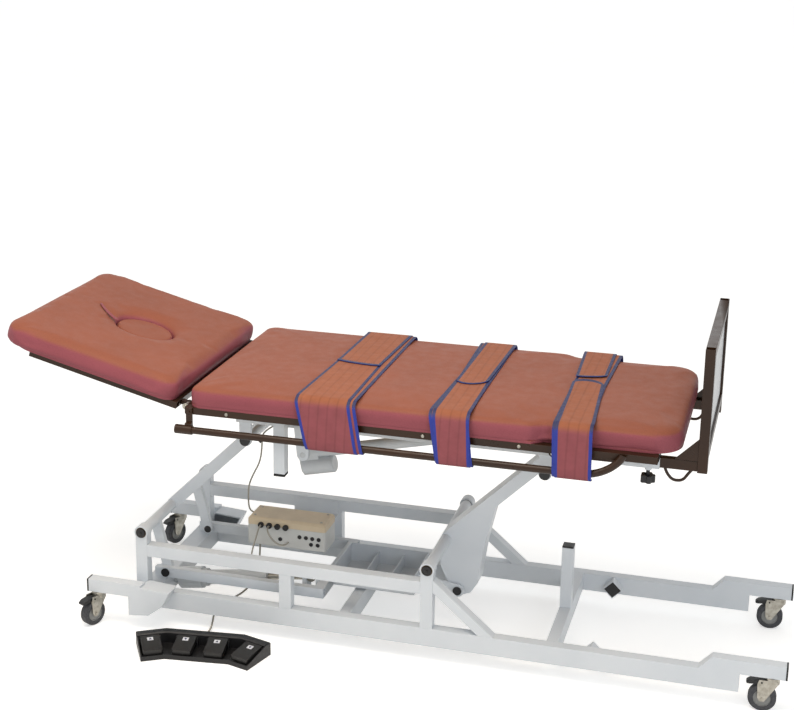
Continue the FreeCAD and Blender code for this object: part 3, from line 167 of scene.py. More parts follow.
def mixed(tree, share, first, second, blend="MIX"):
    """Two colours mixed by a share, or multiplied. Each is a hex colour or a socket."""
    pair = [linear(colour) if isinstance(colour, str) else colour for colour in (first, second)]
    return add_node(tree, "ShaderNodeMixRGB", {"Fac": share, "Color1": pair[0], "Color2": pair[1]},
                    blend_type=blend).outputs["Color"]


def shaded(tree, colour, shade):
    """The colour made lighter or darker by a value."""
    grey = add_node(tree, "ShaderNodeCombineXYZ", {"X": shade, "Y": shade, "Z": shade})
    return mixed(tree, 1.0, colour, grey.outputs["Vector"], "MULTIPLY")


def relief(tree, height, strength, distance, under=None, invert=False):
    """Normal of a bump of that depth in metres, over another normal where one is given."""
    values = {"Height": height, "Strength": strength, "Distance": distance}
    if under is not None:
        values["Normal"] = under
    return add_node(tree, "ShaderNodeBump", values, invert=invert).outputs["Normal"]


def connect(tree, shader, colour, roughness, normal):
    for name, socket in (("Base Color", colour), ("Roughness", roughness), ("Normal", normal)):
        tree.links.new(socket, shader.inputs[name])


# Materials

def patterned(name, values, tones, patches, grain, depth, roughness, cells=False):
    """Finish of two tones in patches, with a fine grain and uneven gloss. patches and grain are
    the (size, detail) of their noise, depth is the grain's (strength, distance), and roughness is
    (size of its patches, low, high). With cells, the grain is of cells and has no detail."""
    tree, shader, place = new_finish(name, values)
    share = speckled(tree, place, patches[0], detail=patches[1])
    if cells:
        height = add_node(tree, "ShaderNodeTexVoronoi", {"Vector": place, "Scale": 1.0 / grain[0]}
                          ).outputs["Distance"]
    else:
        height = speckled(tree, place, grain[0], detail=grain[1])
    connect(tree, shader, mixed(tree, share, *tones), speckled(tree, place, *roughness),
            relief(tree, height, *depth))


def powder_coated_steel(name, colour, shade, rough_low, rough_high, gloss=0.5):
    """Steel tube with a baked polyester powder coat: satin, with the faint ripple of such a coat.
    The ripple is about 1.5 mm on the real one and 3 mm here, so that it shows."""
    patterned(name, {"Specular IOR Level": gloss}, (colour, shade), patches=(0.18, 4.0),
              grain=(0.003, 3.0), depth=(0.25, 0.00025), roughness=(0.04, rough_low, rough_high))


def zinc_plated_steel():
    """Pressed steel with bright zinc plating: soft yellowish metal with cloudy gloss."""
    patterned("zinc_plated_steel", {"Metallic": 1.0}, ("#B4B0A6", "#918D83"), patches=(0.012, 4.0),
              grain=(0.0012, 2.0), depth=(0.15, 0.0002), roughness=(0.02, 0.28, 0.45))


def sintered_bronze():
    """Oil-filled sintered bronze bush: dull brown metal with a fine open grain."""
    patterned("sintered_bronze", {"Metallic": 1.0}, ("#5E4B36", "#453726"), patches=(0.0010, 2.0),
              grain=(0.0010, 2.0), depth=(0.3, 0.0002), roughness=(0.006, 0.4, 0.6))


def moulded_plastic(name, colour, shade, grain, rough_low, rough_high):
    """Injection moulded ABS or polyamide from a spark-eroded tool: matt with a fine even grain.
    The grain is about 0.3 mm on the real one and is drawn coarser here, so that it shows."""
    patterned(name, {"Specular IOR Level": 0.45}, (colour, shade), patches=(0.06, 3.0),
              grain=(grain, None), depth=(0.25, 0.0002), roughness=(0.015, rough_low, rough_high),
              cells=True)


def rubber(name, colour, shade):
    """Moulded rubber: matt, with scuffs that go lighter where it rolls or rubs."""
    patterned(name, {"Specular IOR Level": 0.3}, (colour, shade), patches=(0.008, 5.0),
              grain=(0.0015, 2.0), depth=(0.3, 0.0002), roughness=(0.01, 0.6, 0.8))


def laminate_board():
    """High-pressure laminate on board: smooth pale grey with a faint mottle and a satin face."""
    patterned("laminate_board", {"Specular IOR Level": 0.5}, ("#BFC2C4", "#B2B5B8"),
              patches=(0.005, 4.0), grain=(0.005, 4.0), depth=(0.1, 0.0002), roughness=(0.05, 0.3, 0.4))


def painted_light_share(tree):
    """0 on a piece's upright sides and 1 on its top, by the piece's own normal. It mixes a colour of
    painted top light with a colour of painted side shade.
    """
    normal = add_node(tree, "ShaderNodeTexCoord").outputs["Normal"]
    height = add_node(tree, "ShaderNodeSeparateXYZ", {"Vector": normal}).outputs["Z"]
    return remapped(tree, height, (0.25, 0.85), (0.0, 1.0), "SMOOTHSTEP")


def coated_vinyl(name, top, side):
    """PVC-coated upholstery fabric with an embossed pebble grain: satin. Its top is painted warmer as
    painted warm top light and its rolled sides pinker as painted side shade; the hollows of the
    grain are painted darker as painted shade. The grain is about 1 mm on the real one and 2.2 mm here, so
    that it shows."""
    tree, shader, place = new_finish(name, {"Specular IOR Level": 0.16})
    pebbles = add_node(tree, "ShaderNodeTexVoronoi", {"Vector": place, "Scale": 1.0 / 0.0022},
                       feature="SMOOTH_F1").outputs["Distance"]
    # Painted shade: the hollows between the pebbles darker, the pebble tops a little lighter
    pebble_hollow_painted_shade = remapped(tree, pebbles, (0.2, 0.7), (1.03, 0.90))
    shade = product(tree, speckled(tree, place, 0.12, 0.94, 1.04, 4.0), pebble_hollow_painted_shade)
    slack = relief(tree, speckled(tree, place, 0.05), 0.12, 0.002)
    # Painted light: the top colour on upward faces, the side colour on upright ones, times the random tone
    # and the painted hollow shade
    connect(tree, shader, shaded(tree, mixed(tree, painted_light_share(tree), side, top), shade),
            speckled(tree, place, 0.03, 0.44, 0.56),
            relief(tree, pebbles, 0.45, 0.0004, under=slack, invert=True))


def laminated_strap_cloth(colours):
    """Cloth laminated to foam, stitched in lines along the strap: matt with a fine cross weave.
    Threads lie 1 mm apart on the real one and 2.5 mm here, so that they show."""
    tree, shader, place = new_finish("laminated_strap_cloth", {
        "Specular IOR Level": 0.2, "Sheen Weight": 0.06, "Sheen Roughness": 0.5})
    wavy = {"Distortion": 0.4, "Detail": 1.0, "Detail Scale": 1.0}
    stitched = remapped(tree, bands(tree, place, 0.026, "X", wavy), (0.0, 0.16), (0.86, 1.0))
    weave = product(tree, bands(tree, place, 0.0025, "X"), bands(tree, place, 0.0025, "Y"))
    shade = product(tree, speckled(tree, place, 0.03, 0.92, 1.05, 4.0), stitched)
    # Painted light: the top colour on upward faces as painted warm top light, the side colour on upright
    # faces as painted side shade
    tone = mixed(tree, painted_light_share(tree), colours.strap_painted_shade_side, colours.strap_painted_light_top)
    seam = relief(tree, stitched, 0.5, 0.001)
    connect(tree, shader, shaded(tree, tone, shade), speckled(tree, place, 0.02, 0.62, 0.78),
            relief(tree, weave, 0.35, 0.0004, under=seam))


def ribbed_binding_tape(colours):
    """Woven polyester edge tape: ribs across it, with a slight silky gloss. The ribs are about
    1.5 mm apart on the real one and 3 mm here, so that they show."""
    tree, shader, place = new_finish("ribbed_binding_tape", {
        "Specular IOR Level": 0.35, "Sheen Weight": 0.06, "Sheen Roughness": 0.3})
    # Painted light: the tape's top is a darker navy for the warm overhead light on it and its sides a
    # brighter blue, mixed by the piece's normal, with random fray in the tone
    fray = speckled(tree, place, 0.02, -0.15, 0.15, 4.0)
    share = add_node(tree, "ShaderNodeMath", {0: painted_light_share(tree), 1: fray}, operation="ADD",
                     use_clamp=True).outputs[0]
    connect(tree, shader, mixed(tree, share, colours.binding, colours.binding_painted_light_top),
            speckled(tree, place, 0.01, 0.45, 0.6),
            relief(tree, bands(tree, place, 0.003, "Y"), 0.35, 0.0004))


def birch_plywood():
    """Sanded birch plywood: pale wood with long grain, and plies as bands on its edge."""
    tree, shader, place = new_finish("birch_plywood", {"Specular IOR Level": 0.35})
    grain = speckled(tree, place, 0.012, detail=6.0, stretch=(0.08, 1.0, 1.0))
    share = product(tree, grain, bands(tree, place, 0.0028, "Z"))
    connect(tree, shader, mixed(tree, share, "#CDB08A", "#9C7B55"),
            speckled(tree, place, 0.02, 0.5, 0.65), relief(tree, grain, 0.2, 0.0003))


# Shape helpers

def raised_about_hinge(points):
    """Points of the flat head section, turned up about its hinge."""
    turn = Matrix.Rotation(HEAD_RAISE, 4, "Y")
    return [turn @ (Vector(point) - HEAD_HINGE) + HEAD_HINGE for point in points]


def new_object(name, data):
    made = bpy.data.objects.new(name, data)
    bpy.context.scene.collection.objects.link(made)
    return made


def placed(name, mesh, body, slot, *finishes, smooth=True):
    """A new piece with its finishes, riding on a body."""
    for finish in finishes:
        mesh.materials.append(finish)
    if smooth:
        mesh.shade_smooth()
    piece = new_object(name, mesh)
    if body:
        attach(piece, body)
    return piece


def mesh_of(name, points, faces, finish_of_face=None):
    mesh = bpy.data.meshes.new(name)
    mesh.from_pydata([tuple(point) for point in points], [], faces)
    if finish_of_face is not None:
        mesh.polygons.foreach_set("material_index", finish_of_face)
    mesh.update()
    return mesh


def rounded_path(corners, closed=False):
    """Points along straight runs joined by arcs. Each corner is (x, y, radius)."""
    path = []
    for index, (x, y, radius) in enumerate(corners):
        corner = Vector((x, y))
        if radius == 0:
            path.append(corner)
            continue
        back = (Vector(corners[index - 1][:2]) - corner).normalized()
        ahead = (Vector(corners[(index + 1) % len(corners)][:2]) - corner).normalized()
        half = back.angle(ahead) / 2
        centre = corner + (back + ahead).normalized() * radius / math.sin(half)
        first = corner + back * radius / math.tan(half) - centre
        last = corner + ahead * radius / math.tan(half) - centre
        sweep = math.atan2(first.x * last.y - first.y * last.x, first.dot(last))
        for step in range(ARC_STEPS + 1):
            angle = sweep * step / ARC_STEPS
            path.append(centre + Vector((first.x * math.cos(angle) - first.y * math.sin(angle),
                                         first.x * math.sin(angle) + first.y * math.cos(angle))))
    if closed:
        path.append(path[0])
    return np.array([tuple(point) for point in path])


def spaced(path, step):
    """The same path as points an even step apart, ends kept."""
    runs = np.hypot(*np.diff(path, axis=0).T)
    keep = np.concatenate([[True], runs > 1e-9])
    path = path[keep]
    along = np.concatenate([[0.0], np.cumsum(np.hypot(*np.diff(path, axis=0).T))])
    wanted = np.linspace(0.0, along[-1], max(2, int(round(along[-1] / step)) + 1))
    return np.stack([np.interp(wanted, along, path[:, axis]) for axis in (0, 1)], -1)


def moved_inward(loop, inset):
    """A closed counter-clockwise loop moved towards its inside."""
    tangent = np.roll(loop, -1, axis=0) - np.roll(loop, 1, axis=0)
    tangent /= np.linalg.norm(tangent, axis=1)[:, None]
    return loop + np.stack([-tangent[:, 1], tangent[:, 0]], -1) * inset


def cushion_outline(start, end, half, start_radius, end_radius, step_x=None, step=0.0):
    """Closed outline of a cushion from above, narrower by step on each side past step_x."""
    near = [(start, -half, start_radius)]
    if step_x is not None:
        near += [(step_x, -half, 0.040), (step_x + 0.030, -half + step, 0.040)]
    near.append((end, -half + step, end_radius))
    corners = near + [(x, -y, radius) for x, y, radius in reversed(near)]
    return spaced(rounded_path(corners, closed=True), 0.012)[:-1]


def rolled_edge(bottom, top, roll, bulge):
    """(inset, height) pairs up a cushion's side: slightly tucked in below, full, then rolled over."""
    pairs = [(bulge * 1.6, bottom), (bulge * 0.5, bottom + 0.005), (0.0, bottom + 0.014)]
    for step in range(7):
        angle = math.pi / 2 * step / 6
        pairs.append((roll * (1 - math.cos(angle)) ** 1.15, top - roll * (1 - math.sin(angle))))
    return pairs


def ring_loft(rings):
    """Faces between equal closed rings that follow one another, as one list of points and faces."""
    count = len(rings[0])
    points = [point for ring in rings for point in ring]
    faces = []
    for level in range(len(rings) - 1):
        for index in range(count):
            beside = (index + 1) % count
            faces.append((level * count + index, level * count + beside,
                          (level + 1) * count + beside, (level + 1) * count + index))
    return points, faces


def evaluated_mesh(piece):
    """The piece's mesh with its modifiers applied."""
    depsgraph = bpy.context.evaluated_depsgraph_get()
    return bpy.data.meshes.new_from_object(piece.evaluated_get(depsgraph))


def cushion_block(name, outline, profile, opening=None):
    """Closed cushion solid from an outline and its edge profile, with an oval opening if one is given."""
    rings = [[(x, y, height) for x, y in moved_inward(outline, inset)] for inset, height in profile]
    points, faces = ring_loft(rings)
    loops = [(0, len(outline)), (len(points) - len(outline), len(outline))]
    if opening is not None:
        centre, half_x, half_y, grow_profile = opening
        count = 72
        turns = np.linspace(0, 2 * math.pi, count, endpoint=False)
        inner = [[(centre[0] + (half_x + grow) * math.cos(turn),
                   centre[1] + (half_y + grow) * math.sin(turn), height) for turn in turns]
                 for grow, height in grow_profile]
        inner_points, inner_faces = ring_loft(inner)
        base = len(points)
        faces += [tuple(base + index for index in reversed(face)) for face in inner_faces]
        points += inner_points
        loops += [(base, count), (len(points) - count, count)]
    mesh = mesh_of(name, points, faces)
    shape = bmesh.new()
    shape.from_mesh(mesh)
    shape.verts.ensure_lookup_table()
    for level in (0, 1):
        edges = []
        for start, count in loops[level::2]:
            ring = [shape.verts[start + index] for index in range(count)]
            for first, second in zip(ring, ring[1:] + ring[:1]):
                edges.append(shape.edges.get((first, second)))
        bmesh.ops.triangle_fill(shape, use_beauty=True, use_dissolve=False, edges=edges)
    bmesh.ops.recalc_face_normals(shape, faces=shape.faces)
    shape.to_mesh(mesh)
    shape.free()
    return mesh


def remeshed(mesh, voxel, smoothing):
    """The same solid as an even grid of quads, with its hard edges softened."""
    holder = new_object("remesh_holder", mesh)
    grid = holder.modifiers.new("grid", "REMESH")
    grid.mode = "VOXEL"
    grid.voxel_size = voxel
    soften = holder.modifiers.new("soften", "SMOOTH")
    soften.factor = 0.5
    soften.iterations = smoothing
    result = evaluated_mesh(holder)
    bpy.data.objects.remove(holder)
    return result


def inflated(mesh, pressure, floor, most):
    """The mesh after cloth has swollen it a little, its underside held down on the deck."""
    start = vertex_array(mesh)
    holder = new_object("cloth_holder", mesh)
    held = holder.vertex_groups.new(name="held")
    held.add([int(index) for index in np.flatnonzero(start[:, 2] < floor + 0.006)], 1.0, "REPLACE")
    cloth = holder.modifiers.new("swell", "CLOTH")
    settings = cloth.settings
    settings.quality = 5
    settings.mass = 0.3
    settings.vertex_group_mass = "held"
    settings.use_pressure = True
    settings.uniform_pressure_force = pressure
    settings.tension_stiffness = 30.0
    settings.compression_stiffness = 30.0
    settings.shear_stiffness = 12.0
    settings.bending_stiffness = 2.0
    settings.effector_weights.gravity = 0.0
    last = 20
    cloth.point_cache.frame_start = 1
    cloth.point_cache.frame_end = last
    for number in range(1, last + 1):
        bpy.context.scene.frame_set(number)
    swollen = evaluated_mesh(holder)
    bpy.context.scene.frame_set(1)
    bpy.data.objects.remove(holder)
    moved = vertex_array(swollen) - start
    length = np.linalg.norm(moved, axis=1)
    moved *= np.minimum(1.0, most / np.maximum(length, 1e-9))[:, None]
    swollen.vertices.foreach_set("co", (start + moved).astype(np.float32).ravel())
    swollen.update()
    return swollen


def vertex_array(mesh):
    points = np.empty(len(mesh.vertices) * 3)
    mesh.vertices.foreach_get("co", points)
    return points.reshape(-1, 3)


def set_vertices(mesh, points):
    mesh.vertices.foreach_set("co", np.asarray(points, np.float32).ravel())
    mesh.update()


def subdivided(piece):
    step = piece.modifiers.new("rounder", "SUBSURF")
    step.levels = step.render_levels = 1


def softened(piece, width, segments=2, angle=35.0):
    """Joins the piece's split faces and rounds its edges as bent tube and moulded parts have them."""
    piece.data.shade_smooth()
    weld = piece.modifiers.new("join", "WELD")
    weld.merge_threshold = 0.00002
    flat = piece.modifiers.new("flat_faces", "DECIMATE")
    flat.decimate_type = "DISSOLVE"
    flat.angle_limit = math.radians(0.8)
    flat.delimit = {"MATERIAL"}
    bevel = piece.modifiers.new("soft_edges", "BEVEL")
    bevel.width = width
    bevel.segments = segments
    bevel.limit_method = "ANGLE"
    bevel.angle_limit = math.radians(angle)
    bevel.use_clamp_overlap = True
    shading = piece.modifiers.new("even_shading", "WEIGHTED_NORMAL")
    shading.weight = 70


# Settings that a user would change

def colour_setting(name, description, default):
    return bpy.props.StringProperty(name=name, description=description, default=default)


def length_setting(name, description, default, low, high):
    return bpy.props.FloatProperty(name=name, description=description, default=default, min=low,
                                   max=high, unit="LENGTH")


class CushionSettings(bpy.types.PropertyGroup):
    # Painted light: top is the vinyl with painted warm top light, side the vinyl with painted side shade on
    # the rolled sides
    top: colour_setting("Top colour", "Vinyl colour seen from above", "#8E533F")
    side: colour_setting("Side colour", "Vinyl colour on the rolled sides", "#934F57")
    # Painted light: the tab's top colour holds painted warm top light, its side colour painted side shade
    tab: colour_setting("Tab colour", "Vinyl of the plug's tab from above", "#8C4B52")
    tab_side: colour_setting("Tab side colour", "Vinyl of the tab's sides", "#6E3742")
    voxel: length_setting("Mesh step", "Size of the simulated cloth's cells", 0.010, 0.004, 0.03)
    pressure: bpy.props.FloatProperty(name="Pressure", description="How hard the foam swells the cover",
                                      default=4.0, min=0.0, max=20.0)
    swell: length_setting("Most swell", "How far a point may move outwards", 0.005, 0.0, 0.02)
    roll: length_setting("Edge roll", "Radius of the rolled upper edge", 0.020, 0.004, 0.03)
    recess: length_setting("Plug recess", "Depth of the face plug below the top", 0.018, 0.0, 0.03)


class StrapSettings(bpy.types.PropertyGroup):
    # Painted light: the top colour holds painted warm top light, the side colour painted side shade
    strap_painted_light_top: colour_setting("Top colour", "Strap cloth seen from above", "#95593E")
    strap_painted_shade_side: colour_setting("Side colour", "Strap cloth on the sides", "#894B50")
    # Painted light: the tape's side colour and its darker top colour are painted side and top light
    binding: colour_setting("Binding colour", "Edge tape on the sides", "#27358C")
    binding_painted_light_top: colour_setting("Binding shade", "Edge tape seen from above", "#20244C")
    binding_width: length_setting("Binding width", "Width of the edge tape", 0.009, 0.003, 0.02)
    thickness: length_setting("Thickness", "Thickness of one layer", 0.0020, 0.0005, 0.005)


class FinishSettings(bpy.types.PropertyGroup):
    steel: colour_setting("Base steel", "Powder coat of the lifting frame", "#D9DEE2")
    steel_shade: colour_setting("Base steel shade", "Its second tone", "#D0D6DB")
    brown: colour_setting("Top frame", "Powder coat of the table frame", "#35200F")
    brown_shade: colour_setting("Top frame shade", "Its second tone", "#27170B")
    edge_radius: length_setting("Tube corners", "Corner radius of square tube", 0.0025, 0.0, 0.006)


class StageSettings(bpy.types.PropertyGroup):
    key: bpy.props.FloatProperty(name="Key light", description="Power of the overhead light",
                                 default=41.0, min=0.0, max=2000.0, unit="POWER")
    fill: bpy.props.FloatProperty(name="Fill light", description="Power of the light beside the camera",
                                  default=40.0, min=0.0, max=2000.0, unit="POWER")
    surround: bpy.props.FloatProperty(name="Surround", description="Strength of the even light",
                                      default=0.62, min=0.0, max=3.0)
    floor_colour: colour_setting("Floor", "Colour of the floor", "#F4F4F2")


def finish(name):
    """A material made earlier by the finishes operator."""
    return bpy.data.materials[name]


# Operators

class TILTTABLE_OT_stage(bpy.types.Operator):
    """Makes the floor, the soft lights and the camera"""

    bl_idname = "tilttable.stage"
    bl_label = "Stage"

    def execute(self, context):
        settings = context.scene.tilttable_stage
        self.make_camera(context)
        self.make_floor(settings)
        self.make_world(context, settings)
        self.make_light("overhead_light", (0.35, -0.9, 2.7), (0.55, 0.0, 0.6), (1.8, 1.4),
                        settings.key, "#FFF0DE")
        self.make_light("front_light", (3.5, -4.0, 2.0), (0.85, 0.0, 0.4), (2.4, 1.8),
                        settings.fill, "#F2F6FF")
        self.make_light("head_light", (-3.2, -1.6, 2.0), (0.5, 0.0, 0.5), (2.0, 2.0),
                        settings.fill * 0.2, "#FFFFFF")
        context.scene.view_settings.view_transform = "Standard"
        return {"FINISHED"}

    def make_camera(self, context):
        """Camera of the photograph: its place, turns and off-centre framing."""
        yaw, pitch, roll = CAMERA_TURNS
        forward = Vector((-math.sin(yaw) * math.cos(pitch), math.cos(yaw) * math.cos(pitch),
                          -math.sin(pitch)))
        level = Vector((math.cos(yaw), math.sin(yaw), 0.0))
        above = level.cross(forward)
        right = level * math.cos(roll) + above * math.sin(roll)
        up = above * math.cos(roll) - level * math.sin(roll)
        width, height = PHOTO_SIZE
        data = bpy.data.cameras.new("photo_camera")
        data.sensor_width = SENSOR_WIDTH
        data.lens = FOCAL_LENGTH / width * SENSOR_WIDTH
        data.shift_x = (width / 2 - PRINCIPAL_POINT[0]) / width
        data.shift_y = (PRINCIPAL_POINT[1] - height / 2) / width
        data.clip_start = 0.05
        data.clip_end = 100.0
        camera = new_object("photo_camera", data)
        turn = Matrix((right, up, -forward)).transposed().to_4x4()
        camera.matrix_world = Matrix.Translation(CAMERA_PLACE) @ turn
        context.scene.camera = camera

    def seen_rays(self, tree):
        """1 for rays from the camera, off a glossy surface or through a clear one, else 0."""
        ray = add_node(tree, "ShaderNodeLightPath").outputs
        seen = add_node(tree, "ShaderNodeMath", {0: ray["Is Camera Ray"], 1: ray["Is Glossy Ray"]},
                        operation="ADD").outputs[0]
        return add_node(tree, "ShaderNodeMath", {0: seen, 1: ray["Is Transmission Ray"]},
                        operation="ADD", use_clamp=True).outputs[0]

    def make_floor(self, settings):
        """Large matt floor that the camera and glossy surfaces see as white paper, with its shadows."""
        size, glow = 30.0, 0.46
        mesh = mesh_of("studio_floor", [(-size, -size, 0), (size, -size, 0), (size, size, 0),
                                        (-size, size, 0)], [(0, 1, 2, 3)])
        tree, shader, place = new_finish("studio_paper", {"Specular IOR Level": 0.0, "Roughness": 0.9,
                                                          "Emission Color": (1.0, 1.0, 1.0, 1.0)})
        tone = mixed(tree, speckled(tree, place, 0.5), settings.floor_colour, "#F1F1EF")
        tree.links.new(tone, shader.inputs["Base Color"])
        tree.links.new(product(tree, self.seen_rays(tree), glow), shader.inputs["Emission Strength"])
        mesh.materials.append(finish("studio_paper"))
        new_object("studio_floor", mesh)

    def make_world(self, context, settings):
        """Even surround for the light, seen as plain white by the camera and in reflections."""
        world = bpy.data.worlds.new("studio_surround")
        world.use_nodes = True
        tree = world.node_tree
        tree.nodes.clear()
        strength = remapped(tree, self.seen_rays(tree), (0.0, 1.0), (settings.surround, 1.0))
        light = add_node(tree, "ShaderNodeBackground", {"Color": (1.0, 1.0, 1.0, 1.0),
                                                        "Strength": strength})
        add_node(tree, "ShaderNodeOutputWorld", {"Surface": light.outputs["Background"]})
        context.scene.world = world

    def make_light(self, name, place, aim, size, power, colour):
        data = bpy.data.lights.new(name, "AREA")
        data.shape = "RECTANGLE"
        data.size, data.size_y = size
        data.energy = power
        data.color = linear(colour)[:3]
        light = new_object(name, data)
        light.location = place
        light.rotation_euler = (Vector(aim) - Vector(place)).to_track_quat("-Z", "Y").to_euler()


class TILTTABLE_OT_finishes(bpy.types.Operator):
    """Makes the materials and gives each solid of the frame its finish and soft edges"""

    bl_idname = "tilttable.finishes"
    bl_label = "Frame finishes"

    def execute(self, context):
        settings = context.scene.tilttable_finishes
        powder_coated_steel("pale_powder_coat", settings.steel, settings.steel_shade, 0.34, 0.46)
        powder_coated_steel("brown_powder_coat", settings.brown, settings.brown_shade, 0.26, 0.40, 0.3)
        zinc_plated_steel()
        sintered_bronze()
        moulded_plastic("black_polyamide", "#0D0D0E", "#131315", 0.0010, 0.38, 0.52)
        moulded_plastic("smoked_abs", "#1C1B1A", "#161615", 0.0012, 0.30, 0.42)
        moulded_plastic("pale_grey_abs", "#CCCDCA", "#C4C5C1", 0.0012, 0.42, 0.56)
        # Painted light: the lid is painted tan for the warm overhead light on its top; the box under it is
        # pale grey
        moulded_plastic("lid_abs_painted_warm_light", "#D6C4A6", "#CBBA9E", 0.0012, 0.42, 0.56)
        moulded_plastic("motor_grey_abs", "#C6CACC", "#BABFC2", 0.0012, 0.30, 0.44)
        moulded_plastic("hub_grey_polyamide", "#8D8E8C", "#7E7F7D", 0.0010, 0.40, 0.55)
        moulded_plastic("cable_grey_sheath", "#A8A498", "#9C988D", 0.0010, 0.45, 0.6)
        moulded_plastic("white_mark_ink", "#DADDE2", "#CFD2D8", 0.0010, 0.4, 0.5)
        rubber("grey_tyre_rubber", "#3C3D40", "#4C4D50")
        rubber("black_pad_rubber", "#161616", "#232323")
        cover = context.scene.tilttable_cushions
        coated_vinyl("coated_vinyl", cover.top, cover.side)
        coated_vinyl("coated_vinyl_tab", cover.tab, cover.tab_side)
        laminated_strap_cloth(context.scene.tilttable_straps)
        ribbed_binding_tape(context.scene.tilttable_straps)
        birch_plywood()
        laminate_board()
        self.dress_nodes(settings)
        return {"FINISHED"}

    def dress_nodes(self, settings):
        tube = settings.edge_radius
        # Finish, radius of the softened edges, and the nodes that have them
        groups = (
            ("pale_powder_coat", tube, ("base_rail_near", "base_rail_far", "side_frame_near",
                                        "side_frame_far", "base_cross_tubes", "head_outriggers",
                                        "drawbar_links", "carriage_frame")),
            ("pale_powder_coat", 0.0008, ("drawbar_channel", "guide_sleeves")),
            ("brown_powder_coat", 0.0016, ("table_frame", "head_frame", "footboard_frame", "footboard_arms",
                                           "accessory_rails", "rail_brackets")),
            ("zinc_plated_steel", 0.0006, ("caster_mounts", "fork_foot_near", "fork_foot_far",
                                           "fork_head_near", "fork_head_far", "hinge_plates",
                                           "frame_screws", "lift_rod", "tilt_rod")),
            ("sintered_bronze", 0.0004, ("pivot_bushes",)),
            ("black_polyamide", 0.0012, ("frame_caps", "lock_knob_near", "lock_knob_far", "brake_foot_near",
                                         "brake_foot_far", "brake_head_near", "brake_head_far",
                                         "control_sockets")),
            ("black_polyamide", 0.0015, ("foot_switch",)),
            ("smoked_abs", 0.0022, ("switch_pedal_1", "switch_pedal_2", "switch_pedal_3",
                                    "switch_pedal_4")),
            ("motor_grey_abs", 0.0018, ("lift_actuator", "tilt_motor")),
            ("lid_abs_painted_warm_light", 0.0016, ("control_box_lid",)),
            ("black_pad_rubber", 0.0015, ("carriage_pads",)),
            ("laminate_board", 0.0008, ("footboard_panel",)),
        )
        for finish_name, radius, nodes in groups:
            for node_name in nodes:
                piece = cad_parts[node_name]
                piece.data.materials.clear()
                piece.data.materials.append(finish(finish_name))
                softened(piece, radius)
        for deck in ("table_deck", "head_deck"):
            self.dress_in_two(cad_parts[deck], "coated_vinyl", "birch_plywood", 0.0008,
                              lambda face: face.normal.z < -0.7)
        self.dress_in_two(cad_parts["control_box"], "pale_grey_abs", "pale_powder_coat", 0.0016,
                          lambda face: face.center.y > 0.042)
        for crank, caps in (("head_crank", ((0.040, 0.125, 0.1865), (0.309, 0.583, 0.2103))),
                            ("foot_crank", ((0.903, 0.125, 0.0478), (1.172, 0.583, 0.2103)))):
            self.dress_in_two(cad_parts[crank], "pale_powder_coat", "black_polyamide", tube,
                              lambda face: self.on_cap(face.center, caps))
        for place in ("foot_near", "foot_far", "head_near", "head_far"):
            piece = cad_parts["wheel_" + place]
            low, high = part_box(piece.name)
            axle = (low + high) / 2
            self.dress_in_two(piece, "grey_tyre_rubber", "hub_grey_polyamide", 0.0012,
                              lambda face: (face.center - axle).length < 0.0273)

    def on_cap(self, point, caps):
        """Whether the point is on a pin's black cap. Each cap is (x, z, distance from the centre plane)."""
        return any(abs(point.y) > reach and math.hypot(point.x - x, point.z - z) < 0.0155
                   for x, z, reach in caps)

    def dress_in_two(self, piece, main, other, radius, is_other):
        """Gives the faces picked by is_other another finish: a board's bare underside, the shelf of
        the box, the hub of a wheel."""
        piece.data.materials.clear()
        piece.data.materials.append(finish(main))
        piece.data.materials.append(finish(other))
        piece.data.polygons.foreach_set("material_index",
                                            [int(is_other(face)) for face in piece.data.polygons])
        softened(piece, radius)


